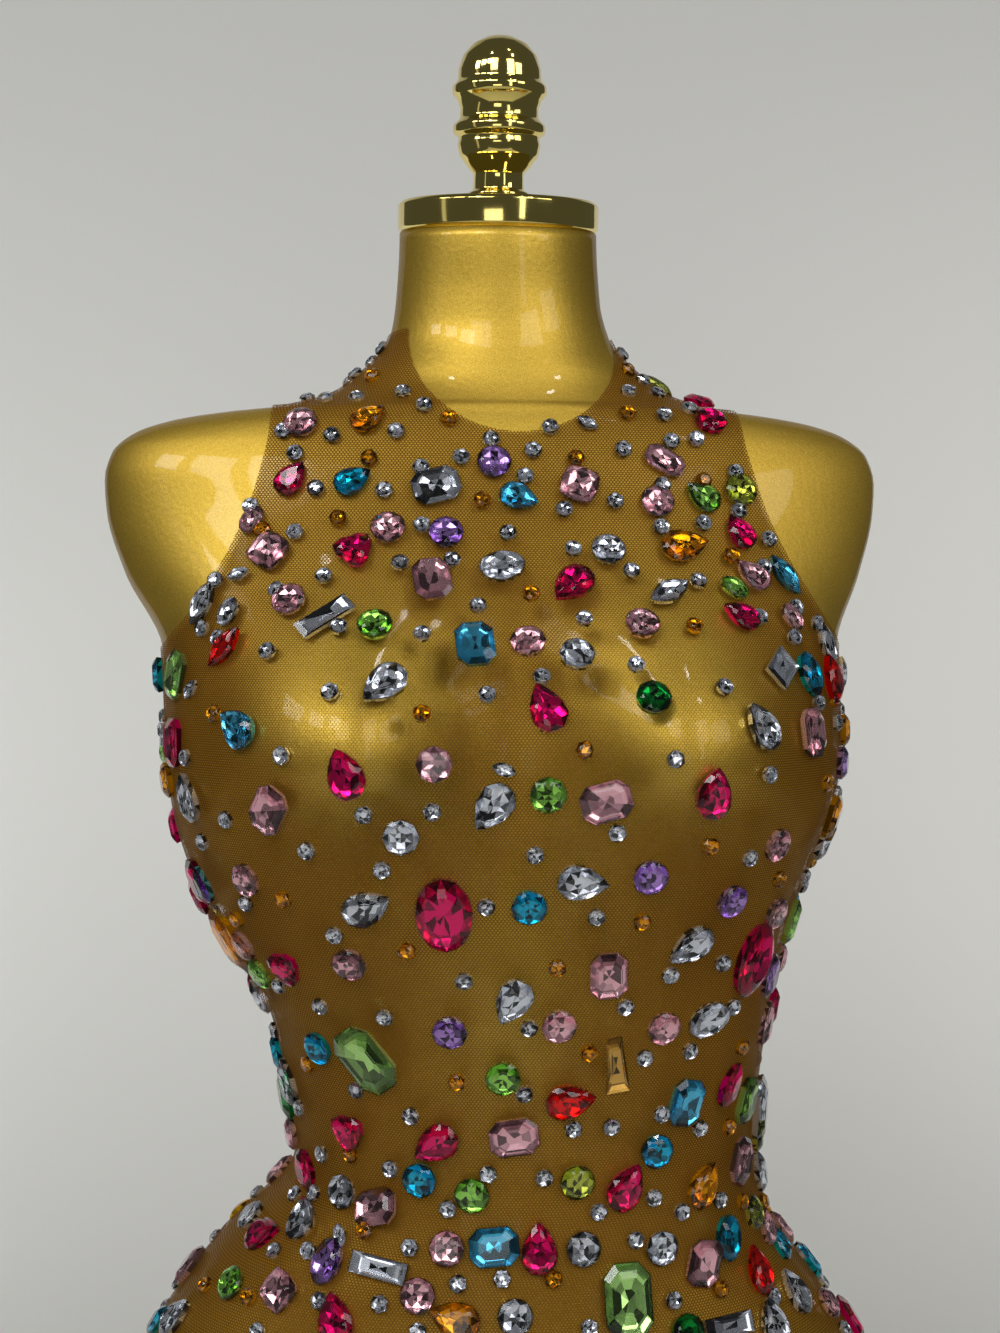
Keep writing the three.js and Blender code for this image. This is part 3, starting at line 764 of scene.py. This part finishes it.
def make_strap():
    """The cloth that lines the arch, from the front panel's lower edge to the backs'."""
    first, length, columns, rows = -92, 196, 16, 60
    bm = bmesh.new()
    uv_layer = bm.loops.layers.uv.new("cloth")
    for vert, column, row in grid(bm, columns, rows):
        depth = first + length * row / rows
        half, high = gap_size(depth)
        wide = half - CLOTH_OUT
        across = (2 * column / columns - 1) * GUSSET["half"]
        up = high - half + math.sqrt(max(wide * wide - across * across, 0))
        vert.co = placed(Vector((across, depth, up)))
    for face in bm.faces:
        for loop in face.loops:
            loop[uv_layer].uv = (loop.vert.co.x, loop.vert.co.y)
    return bm


def body_reach(places, front):
    """How far each place under the body lies inside the cloth's own front or back."""
    result = []
    for p in places:
        angle = MIDDLE_FRONT if front else math.pi / 2
        limit = cloth_point(angle, max(p.z, CLOTH_LOW + 2), CLOTH_OUT).y
        result.append(p.y - limit if front else limit - p.y)
    return result


def sheet_piece(name, parts, node):
    """Joins a panel's parts and puts them in the place of their solid."""
    whole = bmesh.new()
    for bm in parts:
        mesh = bpy.data.meshes.new("part")
        bm.to_mesh(mesh)
        bm.free()
        whole.from_mesh(mesh)
        bpy.data.meshes.remove(mesh)
    bmesh.ops.remove_doubles(whole, verts=whole.verts, dist=0.4 * MM)
    piece = new_piece(name, whole, [net])
    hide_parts(node)
    return piece


front_strap = make_strap()
trim(front_strap, lambda places: body_reach(places, True))
trim_where(front_strap, lambda p: -GUSSET["front"] - SEAM_GAP / 2 - p.y)
mesh_front = sheet_piece("mesh_front", [make_front(), front_strap], "front")

back_panels = {}
for side, name in ((-1, "left"), (1, "right")):
    strap = make_strap()
    trim(strap, lambda places: body_reach(places, False))
    trim_where(strap, lambda p: p.y - GUSSET["back"] - SEAM_GAP / 2)
    trim_where(strap, lambda p: side * p.x - SEAM_GAP / 2)
    back_panels[name] = sheet_piece("mesh_back_" + name, [make_back(side), strap], "back_" + name)

middle_strap = make_strap()
trim_where(middle_strap, lambda p: p.y + GUSSET["front"] - SEAM_GAP / 2)
trim_where(middle_strap, lambda p: GUSSET["back"] - SEAM_GAP / 2 - p.y)
mesh_gusset = sheet_piece("mesh_gusset", [middle_strap], "gusset")

# ---- Stones ------------------------------------------------------------------------
# Cut glass stones with foil backs are glued and stitched down all over the cloth: small
# round chatons, larger rounds, pears, ovals, navettes, octagons, baguettes and slabs.
# Each has a faceted clear crown over a coloured foil; a few shapes repeat many times.

CUTS = table("""
  cut       long wide high top  corners foils
  chaton    7.8  7.8  2.7  0.55 8       6
  sliver    10.5 6.5  2.5  0.5  8       6
  disc      15   15   3.6  0.6  16      8
  pear      22.5 16.5 4.4  0.56 16      9
  drop      18   13.5 3.8  0.56 14      8
  oval      20   15   4    0.58 16      8
  great     33   23.5 5.6  0.56 20      12
  navette   21   11   3.6  0.54 14      8
  octagon   21   16   4    0.6  8       8
  slab      31   21   4.8  0.6  8       8
  cushion   16.5 16.5 4.2  0.6  12      8
  trilliant 17.5 17.5 4    0.54 12      9
  baguette  25   9    3.2  0.6  4       4
  taper     26   10.5 3.4  0.6  4       4
  minor     13.5 9.5  3.2  0.56 12      7
  tablet    17   12.5 3.2  0.6  4       4
  step      18.5 11   3.6  0.6  8       8
""")
CUTS = {row["cut"]: row for row in CUTS}
SQUARE = ("octagon", "slab", "step", "baguette", "taper", "tablet")
SKIRT = 1.0
# The large stones by colour: each one's cut, its place across and down the drawing of the
# front (the pixels that DRAWING turns into mm) and its clockwise turn in degrees.
STONES = {
    "fuchsia": """
  drop 291 479 35, trilliant 354 550 160, pear 573 584 225, pear 547 710 340, pear 346 775 340,
  pear 713 794 6, great 444 912 -4, great 751 958 14, trilliant 286 966 175, pear 727 1084 40,
  trilliant 349 1130 180, pear 437 1142 235, oval 308 1169 -40, pear 625 1187 30, pear 539 1249 0,
  pear 336 1319 -15, disc 710 421 0, drop 740 533 -25, drop 742 616 -55, octagon 176 742 0,
  octagon 201 880 0, drop 772 1006 0, pear 263 1234 60, octagon 852 1318 0""",
    "clear": """
  octagon 436 486 75, oval 502 567 80, pear 385 684 225, pear 762 727 330, pear 493 805 215,
  disc 401 836 0, pear 366 907 65, pear 581 881 95, pear 691 944 235, pear 513 999 205,
  oval 708 1018 60, disc 608 550 0, navette 669 592 60, navette 203 603 25, minor 229 612 20,
  baguette 325 617 50, disc 577 655 0, tablet 781 668 52, navette 825 644 -20, pear 191 798 -10,
  pear 821 838 0, drop 260 995 0, pear 291 1082 -25, slab 757 1109 0, pear 762 1170 -25,
  disc 343 1191 0, disc 252 1216 0, pear 303 1220 -35, disc 583 1248 0, disc 661 1247 0,
  baguette 379 1267 100, pear 795 1292 -10, pear 176 1318 30, disc 515 1316 0, pear 773 1324 0,
  baguette 728 1325 90""",
    "pink": """
  cushion 579 485 20, step 664 461 -57, cushion 269 551 30, octagon 432 580 -8, drop 753 576 -45,
  disc 528 642 0, octagon 811 732 -4, disc 434 764 0, octagon 270 809 35, octagon 606 801 75,
  disc 776 844 0, disc 350 963 0, octagon 608 974 -4, disc 559 1025 0, octagon 514 1136 82,
  octagon 739 1160 25, octagon 377 1207 70, disc 447 1248 0, octagon 703 1262 12,
  cushion 280 1290 30, disc 301 423 0, disc 657 502 0, minor 252 520 30, disc 388 528 0,
  disc 289 600 0, disc 642 624 0, minor 791 617 -30, disc 247 879 0, disc 774 912 0,
  disc 245 944 0, navette 763 1022 20, disc 663 1027 0, disc 294 1132 0, drop 281 1171 0,
  drop 765 1227 0, drop 783 1228 0, octagon 180 1266 35, disc 418 1295 0, disc 827 1303 0""",
    "amber": """
  pear 683 546 80, pear 702 1185 35, pear 456 1319 290, drop 368 419 50, disc 170 780 0,
  octagon 832 816 0, slab 233 938 0""",
    "green": """
  disc 375 625 0, disc 548 794 0, disc 503 1077 0, drop 703 497 -50, minor 734 588 -50,
  octagon 793 920 10, disc 262 972 0, octagon 744 1099 10, disc 472 1194 0, disc 232 1283 0""",
    "aqua": """
  octagon 475 645 -5, pear 239 728 -60, octagon 685 1101 12, octagon 494 1246 85,
  drop 518 497 110, navette 784 575 -30, drop 206 884 0""",
    "emerald": """
  disc 653 698 0, octagon 283 1093 0, disc 687 1331 0""",
    "teal": """
  oval 808 674 -10, disc 529 906 0, disc 656 1150 0, disc 420 1179 0, oval 727 1237 5,
  drop 352 481 60, disc 319 1047 0, drop 276 1051 0, drop 778 1243 0, oval 812 1260 0,
  navette 160 1321 30""",
    "purple": """
  disc 650 876 0, disc 450 1031 0, oval 328 1261 8, disc 494 462 0, disc 446 533 0,
  disc 839 762 0, disc 731 900 0, oval 767 974 0""",
    "mint": """
  slab 367 1058 -35, slab 627 1300 0, octagon 178 674 15""",
    "red": """
  pear 569 1100 80, navette 225 647 35, pear 830 680 -10, pear 758 1271 0""",
    "lime": """
  disc 740 490 0, disc 762 1134 0, disc 577 1181 0, disc 752 1212 0""",
    "olive": """
  taper 615 1063 -8""",
}
# The small round stones in the same way, by their places alone.
CHATONS = {
    "clear": """
  380,349 356,375 403,392 326,399 357,398 424,405 283,431 332,435 396,431 295,453 461,457
  491,439 421,467 316,488 384,490 251,506 295,532 422,525 400,563 452,560 239,574 216,580
  324,576 277,590 478,606 642,381 628,392 657,394 664,415 689,409 587,423 550,427 696,439
  671,441 533,450 623,449 525,476 662,485 735,472 615,501 564,509 738,511 703,523 661,527
  508,533 768,539 573,549 631,571 763,567 698,581 584,619 759,617 795,607 793,637 816,623
  339,627 422,634 203,628 219,638 268,651 192,689 330,692 487,695 542,677 636,665 724,687
  817,702 835,722 167,740 187,757 282,755 504,769 675,759 769,774 227,819 364,814 432,811
  617,832 307,850 204,841 535,854 749,857 382,869 803,876 247,902 486,906 596,916 222,910
  335,934 280,984 250,965 464,980 722,962 670,974 321,1005 385,1016 625,1006 732,1006
  273,1029 529,1027 689,1050 644,1057 357,1089 524,1093 759,1088 301,1107 411,1115 573,1128
  611,1126 661,1113 699,1127 323,1153 391,1168 488,1173 544,1177 315,1193 296,1194 255,1193
  653,1197 719,1199 448,1208 598,1211 681,1211 340,1235 275,1251 309,1250 410,1247 635,1239
  800,1253 458,1283 502,1278 175,1283 823,1282 320,1300 380,1303 673,1300 773,1296 589,1327
  418,1331 258,1331 843,1329""",
    "amber": """
  373,376 449,418 369,458 482,500 263,530 338,518 627,370 627,413 576,458 703,481 731,556
  531,594 694,626 832,698 422,714 215,713 584,750 826,782 710,845 778,878 284,898 642,921
  238,918 407,950 557,967 741,1046 589,1052 309,1063 457,1081 728,1126 351,1153 741,1201
  762,1201 365,1230 553,1278 206,1285 249,1296 720,1288 842,1310""",
}
# Foil colours, in linear light.
FOILS = {
    "clear": (0.88, 0.91, 0.98), "pink": (1.0, 0.68, 0.75), "fuchsia": (0.82, 0.0, 0.24),
    "purple": (0.44, 0.29, 0.60), "teal": (0.0, 0.42, 0.58), "aqua": (0.20, 0.74, 0.98),
    "green": (0.38, 0.66, 0.17), "emerald": (0.0, 0.29, 0.05), "mint": (0.62, 0.88, 0.40),
    "lime": (0.46, 0.50, 0.09), "amber": (0.98, 0.53, 0.0), "red": (1.0, 0.004, 0.0),
    "olive": (0.58, 0.39, 0.10),
}
DRAWING = {"across": 500, "down": 666, "unit": 0.4706}


def outline(cut, turn):
    """A cut's outline at a turn from its point, as shares of its half width and length."""
    x, y = math.sin(turn), math.cos(turn)
    if cut in ("pear", "drop"):
        return x * abs(math.sin(turn / 2)) ** 0.75 * 1.16, (y + 0.06) / 1.03
    if cut in ("navette", "sliver"):
        return math.copysign(x * x, x), y
    if cut in ("octagon", "slab", "step"):
        return (math.copysign(1, x), math.copysign(0.62, y)) if abs(x) > abs(y) else (
            math.copysign(0.5, x), math.copysign(1, y))
    if cut == "cushion":
        return power(x, 0.55), power(y, 0.55)
    if cut == "trilliant":
        reach = 0.92 + 0.14 * math.cos(3 * turn)
        return x * reach, y * reach + 0.02
    if cut in ("baguette", "taper", "tablet"):
        narrow = 0.62 if cut == "taper" and y > 0 else 1
        return math.copysign(narrow, x), math.copysign(1, y)
    return x, y


def ring(bm, cut, count, share, up, twist):
    """One ring of a cut's outline, smaller by a share, at a height in mm."""
    row = CUTS[cut]
    square = math.pi / count if cut in SQUARE else 0.0
    made = bmesh.ops.create_circle(bm, segments=int(count), radius=1)["verts"]
    for vert in made:
        turn = math.atan2(vert.co.x, vert.co.y) + square
        x, y = outline(cut, turn + (0 if square else twist * math.pi / count))
        vert.co = (x * row["wide"] / 2 * share, y * row["long"] / 2 * share, up)
    return [edge for edge in bm.edges if edge.verts[0] in made and edge.verts[1] in made]


def shell(bm, cut, count, steps, material, filled=True):
    """Nested rings bridged into facets, the last one filled."""
    before = set(bm.faces)
    loops = [ring(bm, cut, count, *step) for step in steps]
    for outer, inner in zip(loops, loops[1:]):
        bmesh.ops.bridge_loops(bm, edges=outer + inner)
    if filled:
        bmesh.ops.edgeloop_fill(bm, edges=loops[-1])
    made = [face for face in bm.faces if face not in before]
    for face in made:
        face.material_index = material
    return made


def stone_template(cut):
    """One cut stone, table up, in mm: a glass crown, its foil beneath and a foil skirt."""
    row = CUTS[cut]
    high, flat = row["high"], row["top"]
    girdle = high * 0.4
    bm = bmesh.new()
    around = int(row["corners"])
    # Each ring has its share of the outline, its height in mm and its twist in half facets.
    crown = [(1, girdle, 0), (0.5 + flat / 2, girdle + (high - girdle) * 0.62, 1), (flat, high, 2)]
    pavilion = [(0.97, girdle - 0.02, 0), (0.62, girdle * 0.5, 1), (0.3, girdle * 0.22, 2)]
    shell(bm, cut, around, crown, 0)
    foil = shell(bm, cut, int(row["foils"]), pavilion, 1)
    small = cut in ("chaton", "sliver")
    bmesh.ops.poke(bm, faces=foil[-1:], offset=0 if small else -0.12)
    shell(bm, cut, around, [(1, girdle, 0), (0.93, -SKIRT, 0)], 1, filled=False)
    if cut not in SQUARE:
        twisted = [face for face in bm.faces if len(face.verts) == 4]
        bmesh.ops.triangulate(bm, faces=twisted, quad_method="SHORT_EDGE")
    for face in bm.faces:
        middle = face.calc_center_median()
        out = face.normal.z
        if abs(out) <= 0.05:
            out = face.normal.dot(Vector((middle.x, middle.y, 0)))
        if out < 0:
            face.normal_flip()
    mesh = bpy.data.meshes.new("template_" + cut)
    bm.to_mesh(mesh)
    bm.free()
    return mesh


def stone_glass(name, colour):
    """Clear or tinted glass for a crown; the foil below it gives most of the colour."""
    tint = [0.4 + 0.6 * channel for channel in colour]
    return Nodes(name).finish(Base_Color=(*tint, 1), Roughness=0.0, IOR=1.45,
                              Transmission_Weight=1.0)


def stone_foil(name, colour):
    """Mirror foil in the stone's colour, each facet painted lighter or darker at random, as painted
    reflections of bright and dark surroundings.
    """
    nodes = Nodes(name)
    facet = nodes.add("ShaderNodeAttribute", attribute_name="facet").outputs["Fac"]
    # The ramp paints each facet's reflection into the foil's colour: low values are painted shade,
    # high ones painted highlight, lifted past the colour itself.
    dark = 0.06 if min(colour) > 0.8 else 0.16
    light = min(1.7, 1 / max(colour))
    stops = [(0.26, [channel * dark for channel in colour]),
             (0.46, [channel * light for channel in colour])]
    return nodes.finish(Base_Color=nodes.ramp(facet, stops), Metallic=0.8, Roughness=0.12)


templates = {cut: stone_template(cut) for cut in CUTS}
panels = [mesh_front, back_panels["left"], back_panels["right"]]
rng = np.random.default_rng(11)
laid = []
EDGE = {"tries": 40, "step": 1.5}  # steps in from beside the cloth, in pixels
ON_CLOTH = {"off": 0.8, "share": 0.25}  # the middle's slack in mm, the rim's by its margin


def set_stone(cut, colour, point, normal, turn):
    """Notes a stone's place in metres, its way out and its clockwise turn in degrees."""
    laid.append({"cut": cut, "colour": colour, "point": point, "normal": normal, "turn": turn})


def seen(across, down):
    """Where a place on the drawing meets the cloth, moved in where it falls beside it."""
    right = Vector((math.cos(EYE_ASIDE), -math.sin(EYE_ASIDE), 0))
    for step in range(EDGE["tries"]):
        shift = step * EDGE["step"] * (1 if across < DRAWING["across"] else -1)
        reach = (across + shift - DRAWING["across"]) * DRAWING["unit"] * MM
        target = AXIS + right * reach
        target.z = EYE_HEIGHT + (DRAWING["down"] - down) * DRAWING["unit"] * MM
        for panel in panels:
            hit, place, normal, _ = panel.ray_cast(eye, (target - eye).normalized())
            if hit:
                return place, normal
    return None


def on_cloth(place, normal, margin):
    """Whether a place lies on a panel with cloth all round it."""
    side = normal.cross(Vector((0, 0, 1))).normalized()
    rise = side.cross(normal)
    spots = [place + (side * a + rise * b) * margin * MM
             for a, b in ((0, 0), (1, 0), (-1, 0), (0, 1), (0, -1))]
    for panel in panels:
        gaps = [(panel.closest_point_on_mesh(spot)[1] - spot).length / MM for spot in spots]
        if gaps[0] < ON_CLOTH["off"] and max(gaps[1:]) < ON_CLOTH["share"] * margin:
            return True
    return False


for colour, entries in STONES.items():
    for entry in entries.split(","):
        cut, across, down, turn = entry.split()
        found = seen(float(across), float(down))
        if found:
            set_stone(cut, colour, *found, float(turn))
for colour, places in CHATONS.items():
    for place in places.split():
        across, down = (float(word) for word in place.split(","))
        found = seen(across, down)
        if found:
            cut = "sliver" if colour == "clear" and rng.random() < 0.05 else "chaton"
            set_stone(cut, colour, *found, rng.random() * 360)

# Rows of large stones round the hidden sides and the back, each row half a step on from
# the one below. Two even sequences stand in for random draws.
SCATTER = {"rise": 46, "step": 47, "girth": 1.7, "jitter": 9, "swing": 0.42, "margin": 9,
           "low": 118, "front_high": 222, "back_high": 668}
SEQUENCES = (0.618034, 0.754878)
MIX = ["pear", "disc", "octagon", "oval", "pear", "trilliant", "cushion", "disc", "octagon"]
MIX_COLOURS = ["clear", "pink", "fuchsia", "teal", "green", "purple", "aqua", "amber"]
draw = 0
line = 0
up = SCATTER["low"]
while up < SCATTER["back_high"]:
    girth = math.pi * level(up)["half"] * SCATTER["girth"]
    count = round(girth / (2 * SCATTER["step"])) * 2
    for i in range(count):
        draw += 1
        first, second = (draw * pace % 1 for pace in SEQUENCES)
        angle = 2 * math.pi * (i + (line % 2) / 2 + (first - 0.5) * SCATTER["swing"]) / count
        high = up + (second - 0.5) * 2 * SCATTER["jitter"]
        if math.sin(angle) < 0 and high > SCATTER["front_high"]:
            continue
        place = placed(cloth_point(angle, high, CLOTH_OUT))
        normal = outward(angle, high, True)
        if on_cloth(place, normal, SCATTER["margin"]):
            colour = MIX_COLOURS[draw * 5 % len(MIX_COLOURS)]
            set_stone(MIX[draw % len(MIX)], colour, place, normal, 360 * first)
    up += SCATTER["rise"]
    line += 1

# Then large and small stones at random wherever they find room, out of the front view.
FILL = {"large": {"tries": 2600, "apart": 7.5}, "small": {"tries": 5200, "apart": 4.5}}
FILL_LOW = 75
FILL_TALL = 625
HAND_LAID = {"low": 236, "back": 0.1}
SHARES = {"disc": 0.3, "pear": 0.2, "octagon": 0.12, "oval": 0.08, "drop": 0.1, "navette": 0.06,
          "trilliant": 0.05, "baguette": 0.05, "cushion": 0.04}
TINTS = {"clear": 0.24, "pink": 0.24, "fuchsia": 0.2, "teal": 0.09, "green": 0.09, "purple": 0.07,
         "aqua": 0.05, "lime": 0.05, "amber": 0.05, "red": 0.02}
TINTS = {name: share / sum(TINTS.values()) for name, share in TINTS.items()}


def drawn(shares):
    """One name at random, by its share."""
    return str(rng.choice(list(shares), p=list(shares.values())))


def crowded(place, clear):
    """Whether a stone that is laid already reaches into a clearance, in metres."""
    return any((place - other["point"]).length < clear + CUTS[other["cut"]]["long"] / 2 * MM
               for other in laid)


for size, fill in FILL.items():
    for _ in range(fill["tries"]):
        angle, high = rng.random() * 2 * math.pi, FILL_LOW + rng.random() * FILL_TALL
        place = placed(cloth_point(angle, high, CLOTH_OUT))
        normal = outward(angle, high, True)
        faces_view = normal.dot(eye - place) > 0 and math.sin(angle) < HAND_LAID["back"]
        if high > HAND_LAID["low"] and faces_view:
            continue
        if size == "large":
            cut = drawn(SHARES)
            colour = drawn(TINTS)
        else:
            cut = "chaton" if rng.random() < 0.95 else "sliver"
            colour = "clear" if rng.random() < 0.8 else "amber"
        reach = CUTS[cut]["long"] / 2
        if crowded(place, (reach + fill["apart"]) * MM):
            continue
        if on_cloth(place, normal, reach * 0.9):
            set_stone(cut, colour, place, normal, rng.random() * 360)

STONE_LIFT = 0.35


def paint_facet_reflections(piece):
    """Gives each facet its own random value, which the foil's ramp turns into a painted reflection,
    lighter or darker.
    """
    shade = piece.data.attributes.new("facet", "FLOAT", "FACE")
    shade.data.foreach_set("value", rng.random(len(piece.data.polygons)))


for colour, tint in FOILS.items():
    joined = bmesh.new()
    for row in laid:
        if row["colour"] != colour:
            continue
        normal = row["normal"].normalized()
        rise = (Vector((0, 0, 1)) - normal * normal.z).normalized()
        right = rise.cross(normal)
        turn = math.radians(row["turn"])
        longways = rise * math.cos(turn) + right * math.sin(turn)
        sideways = right * math.cos(turn) - rise * math.sin(turn)
        frame_of = Matrix((sideways * MM, longways * MM, normal * MM)).transposed().to_4x4()
        frame_of.translation = row["point"] + normal * STONE_LIFT * MM
        copy = templates[row["cut"]].copy()
        copy.transform(frame_of)
        joined.from_mesh(copy)
        bpy.data.meshes.remove(copy)
    materials = [stone_glass("glass_" + colour, tint), stone_foil("foil_" + colour, tint)]
    piece = new_piece("stones_" + colour, joined, materials, smooth=False)
    # Each stone's facets get painted reflections, lighter or darker at random.
    paint_facet_reflections(piece)
for mesh in templates.values():
    bpy.data.meshes.remove(mesh)

# ---- Nape button and its loop ------------------------------------------------------
# One small faceted button closes the centre back at the nape: it is sewn on the wearer's
# left edge, and a fine thread loop from the right edge goes round it.

BUTTON = {"radius": 4.5, "high": 3.4, "across": 7.4, "up": 691}
button_width = level(BUTTON["up"])["half"]
button_angle = math.acos(BUTTON["across"] / button_width)
button_out = outward(button_angle, BUTTON["up"], True)
button_seat = placed(cloth_point(button_angle, BUTTON["up"], CLEAR + WALL + SEAM_GAP))
button_frame = button_out.to_track_quat("Z", "Y").to_matrix().to_4x4()
button_frame.translation = button_seat
radius, high = BUTTON["radius"], BUTTON["high"]
button_steps = [(0, 0), (radius * 0.8, 0), (radius, high * 0.3), (radius * 0.85, high * 0.75),
                (0, high)]
nape_button = spun("nape_button_stone", button_steps, 12, button_frame,
                   stone_foil("button_foil", FOILS["clear"]), smooth=False)
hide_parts("nape_button")
# The button's facets get painted reflections, lighter or darker at random.
paint_facet_reflections(nape_button)


def matte(name, colour, roughness):
    """A plain dull material in one colour."""
    return Nodes(name).finish(Base_Color=(*colour, 1), Roughness=roughness)


LOOP = {"radius": 5.3, "thick": 0.55, "up": 0.6, "sides": 10}
loop_ring = []
for i in range(LOOP["sides"] + 1):
    turn = 2 * math.pi * i / LOOP["sides"]
    loop_ring.append((LOOP["radius"] + LOOP["thick"] * math.cos(turn),
                      LOOP["up"] + LOOP["thick"] * math.sin(turn)))
thread = matte("thread", (0.2, 0.1, 0.022), 0.7)
button_loop = spun("button_loop", loop_ring, 40, button_frame, thread)

# ---- Floor, backdrop and light -----------------------------------------------------
# A plain pale floor runs up behind into a plain pale wall, under soft studio light.

PAPER = {"half": 1.0, "front": -1.4, "floor": 2.0, "bend": 0.5, "length": 5.44, "rows": 60}
BEND_RUN = PAPER["bend"] * math.pi / 2
floor_bm = bmesh.new()
for vert, column, row in grid(floor_bm, 2, PAPER["rows"]):
    run = PAPER["length"] * row / PAPER["rows"]
    x = (column - 1) * PAPER["half"]
    wall = PAPER["front"] + PAPER["floor"]
    if run < PAPER["floor"]:
        vert.co = (x, PAPER["front"] + run, 0)
    elif run < PAPER["floor"] + BEND_RUN:
        turn = (run - PAPER["floor"]) / PAPER["bend"]
        vert.co = (x, wall + PAPER["bend"] * math.sin(turn), PAPER["bend"] * (1 - math.cos(turn)))
    else:
        vert.co = (x, wall + PAPER["bend"], PAPER["bend"] + run - PAPER["floor"] - BEND_RUN)
bmesh.ops.recalc_face_normals(floor_bm, faces=floor_bm.faces)
floor_mesh = bpy.data.meshes.new("studio")
floor_bm.to_mesh(floor_mesh)
floor_bm.free()
floor_mesh.materials.append(matte("studio_paper", (0.80, 0.80, 0.775), 0.9))
for face in floor_mesh.polygons:
    face.use_smooth = True
studio = bpy.data.objects.new("studio", floor_mesh)
scene.collection.objects.link(studio)

LIGHTS = table("""
  name        across back  up   width tall power warm aim_across aim_back aim_up
  pane_one    -0.85  -1.45 1.75 0.42  0.4  4.0   0.0  0          0        0.5
  pane_two    -1.35  -1.20 1.75 0.42  0.4  3.6   0.0  0          0        0.5
  pane_left   -1.75  -0.75 1.75 0.42  0.4  4.2   0.0  0          0        0.5
  front_left  -0.75  -2.2  1.95 0.8   0.9  9.0   0.1  0          0        0.45
  front_right 1.05   -2.1  1.8  0.8   1.0  9.4   0.1  0          0        0.45
  front_low   -0.35  -2.2  0.35 0.8   0.5  2.4   0.1  0          0        0.5
  side_right  1.5    -1.3  1.4  0.6   0.7  4.0   0.1  0          0        0.5
  tall_left   -2.1   -0.9  0.8  0.2   1.6  0.5   0.0  0          0        0.6
  tall_front  0.85   -2.0  0.75 0.22  0.8  1.3   0.1  0          0        0.6
  spot_one    -0.55  -0.95 2.1  0.08  0.08 0.6   0.1  0          0        0.6
  spot_two    0.45   -0.7  2.1  0.08  0.08 0.6   0.1  0          0        0.6
  spot_three  0.7    -0.9  1.9  0.1   0.1  0.9   0.25 0          0        0.6
  wall_left   -1.0   0.25  0.2  0.9   0.8  4.8   0.0  -0.95      1.1      0.25
  wall_right  1.05   0.25  0.6  0.9   0.8  3.1   0.1  1.0        1.1      0.55
""")
WARM = (0.0, 0.12, 0.32)  # what a fully warm light lacks of red, green and blue
for row in LIGHTS:
    data = bpy.data.lights.new(row["name"], "AREA")
    data.shape = "RECTANGLE"
    data.size, data.size_y = row["width"], row["tall"]
    data.energy = row["power"]
    data.color = [1 - lack * row["warm"] for lack in WARM]
    lamp = bpy.data.objects.new(row["name"], data)
    lamp.location = (row["across"], row["back"], row["up"])
    aim = Vector((row["aim_across"], row["aim_back"], row["aim_up"])) - lamp.location
    lamp.rotation_euler = aim.to_track_quat("-Z", "Y").to_euler()
    scene.collection.objects.link(lamp)

world = bpy.data.worlds.new("room")
world.use_nodes = True
world.node_tree.nodes["Background"].inputs["Color"].default_value = (0.9, 0.93, 0.9, 1)
world.node_tree.nodes["Background"].inputs["Strength"].default_value = 0.08
scene.world = world
scene.view_settings.view_transform = "Standard"
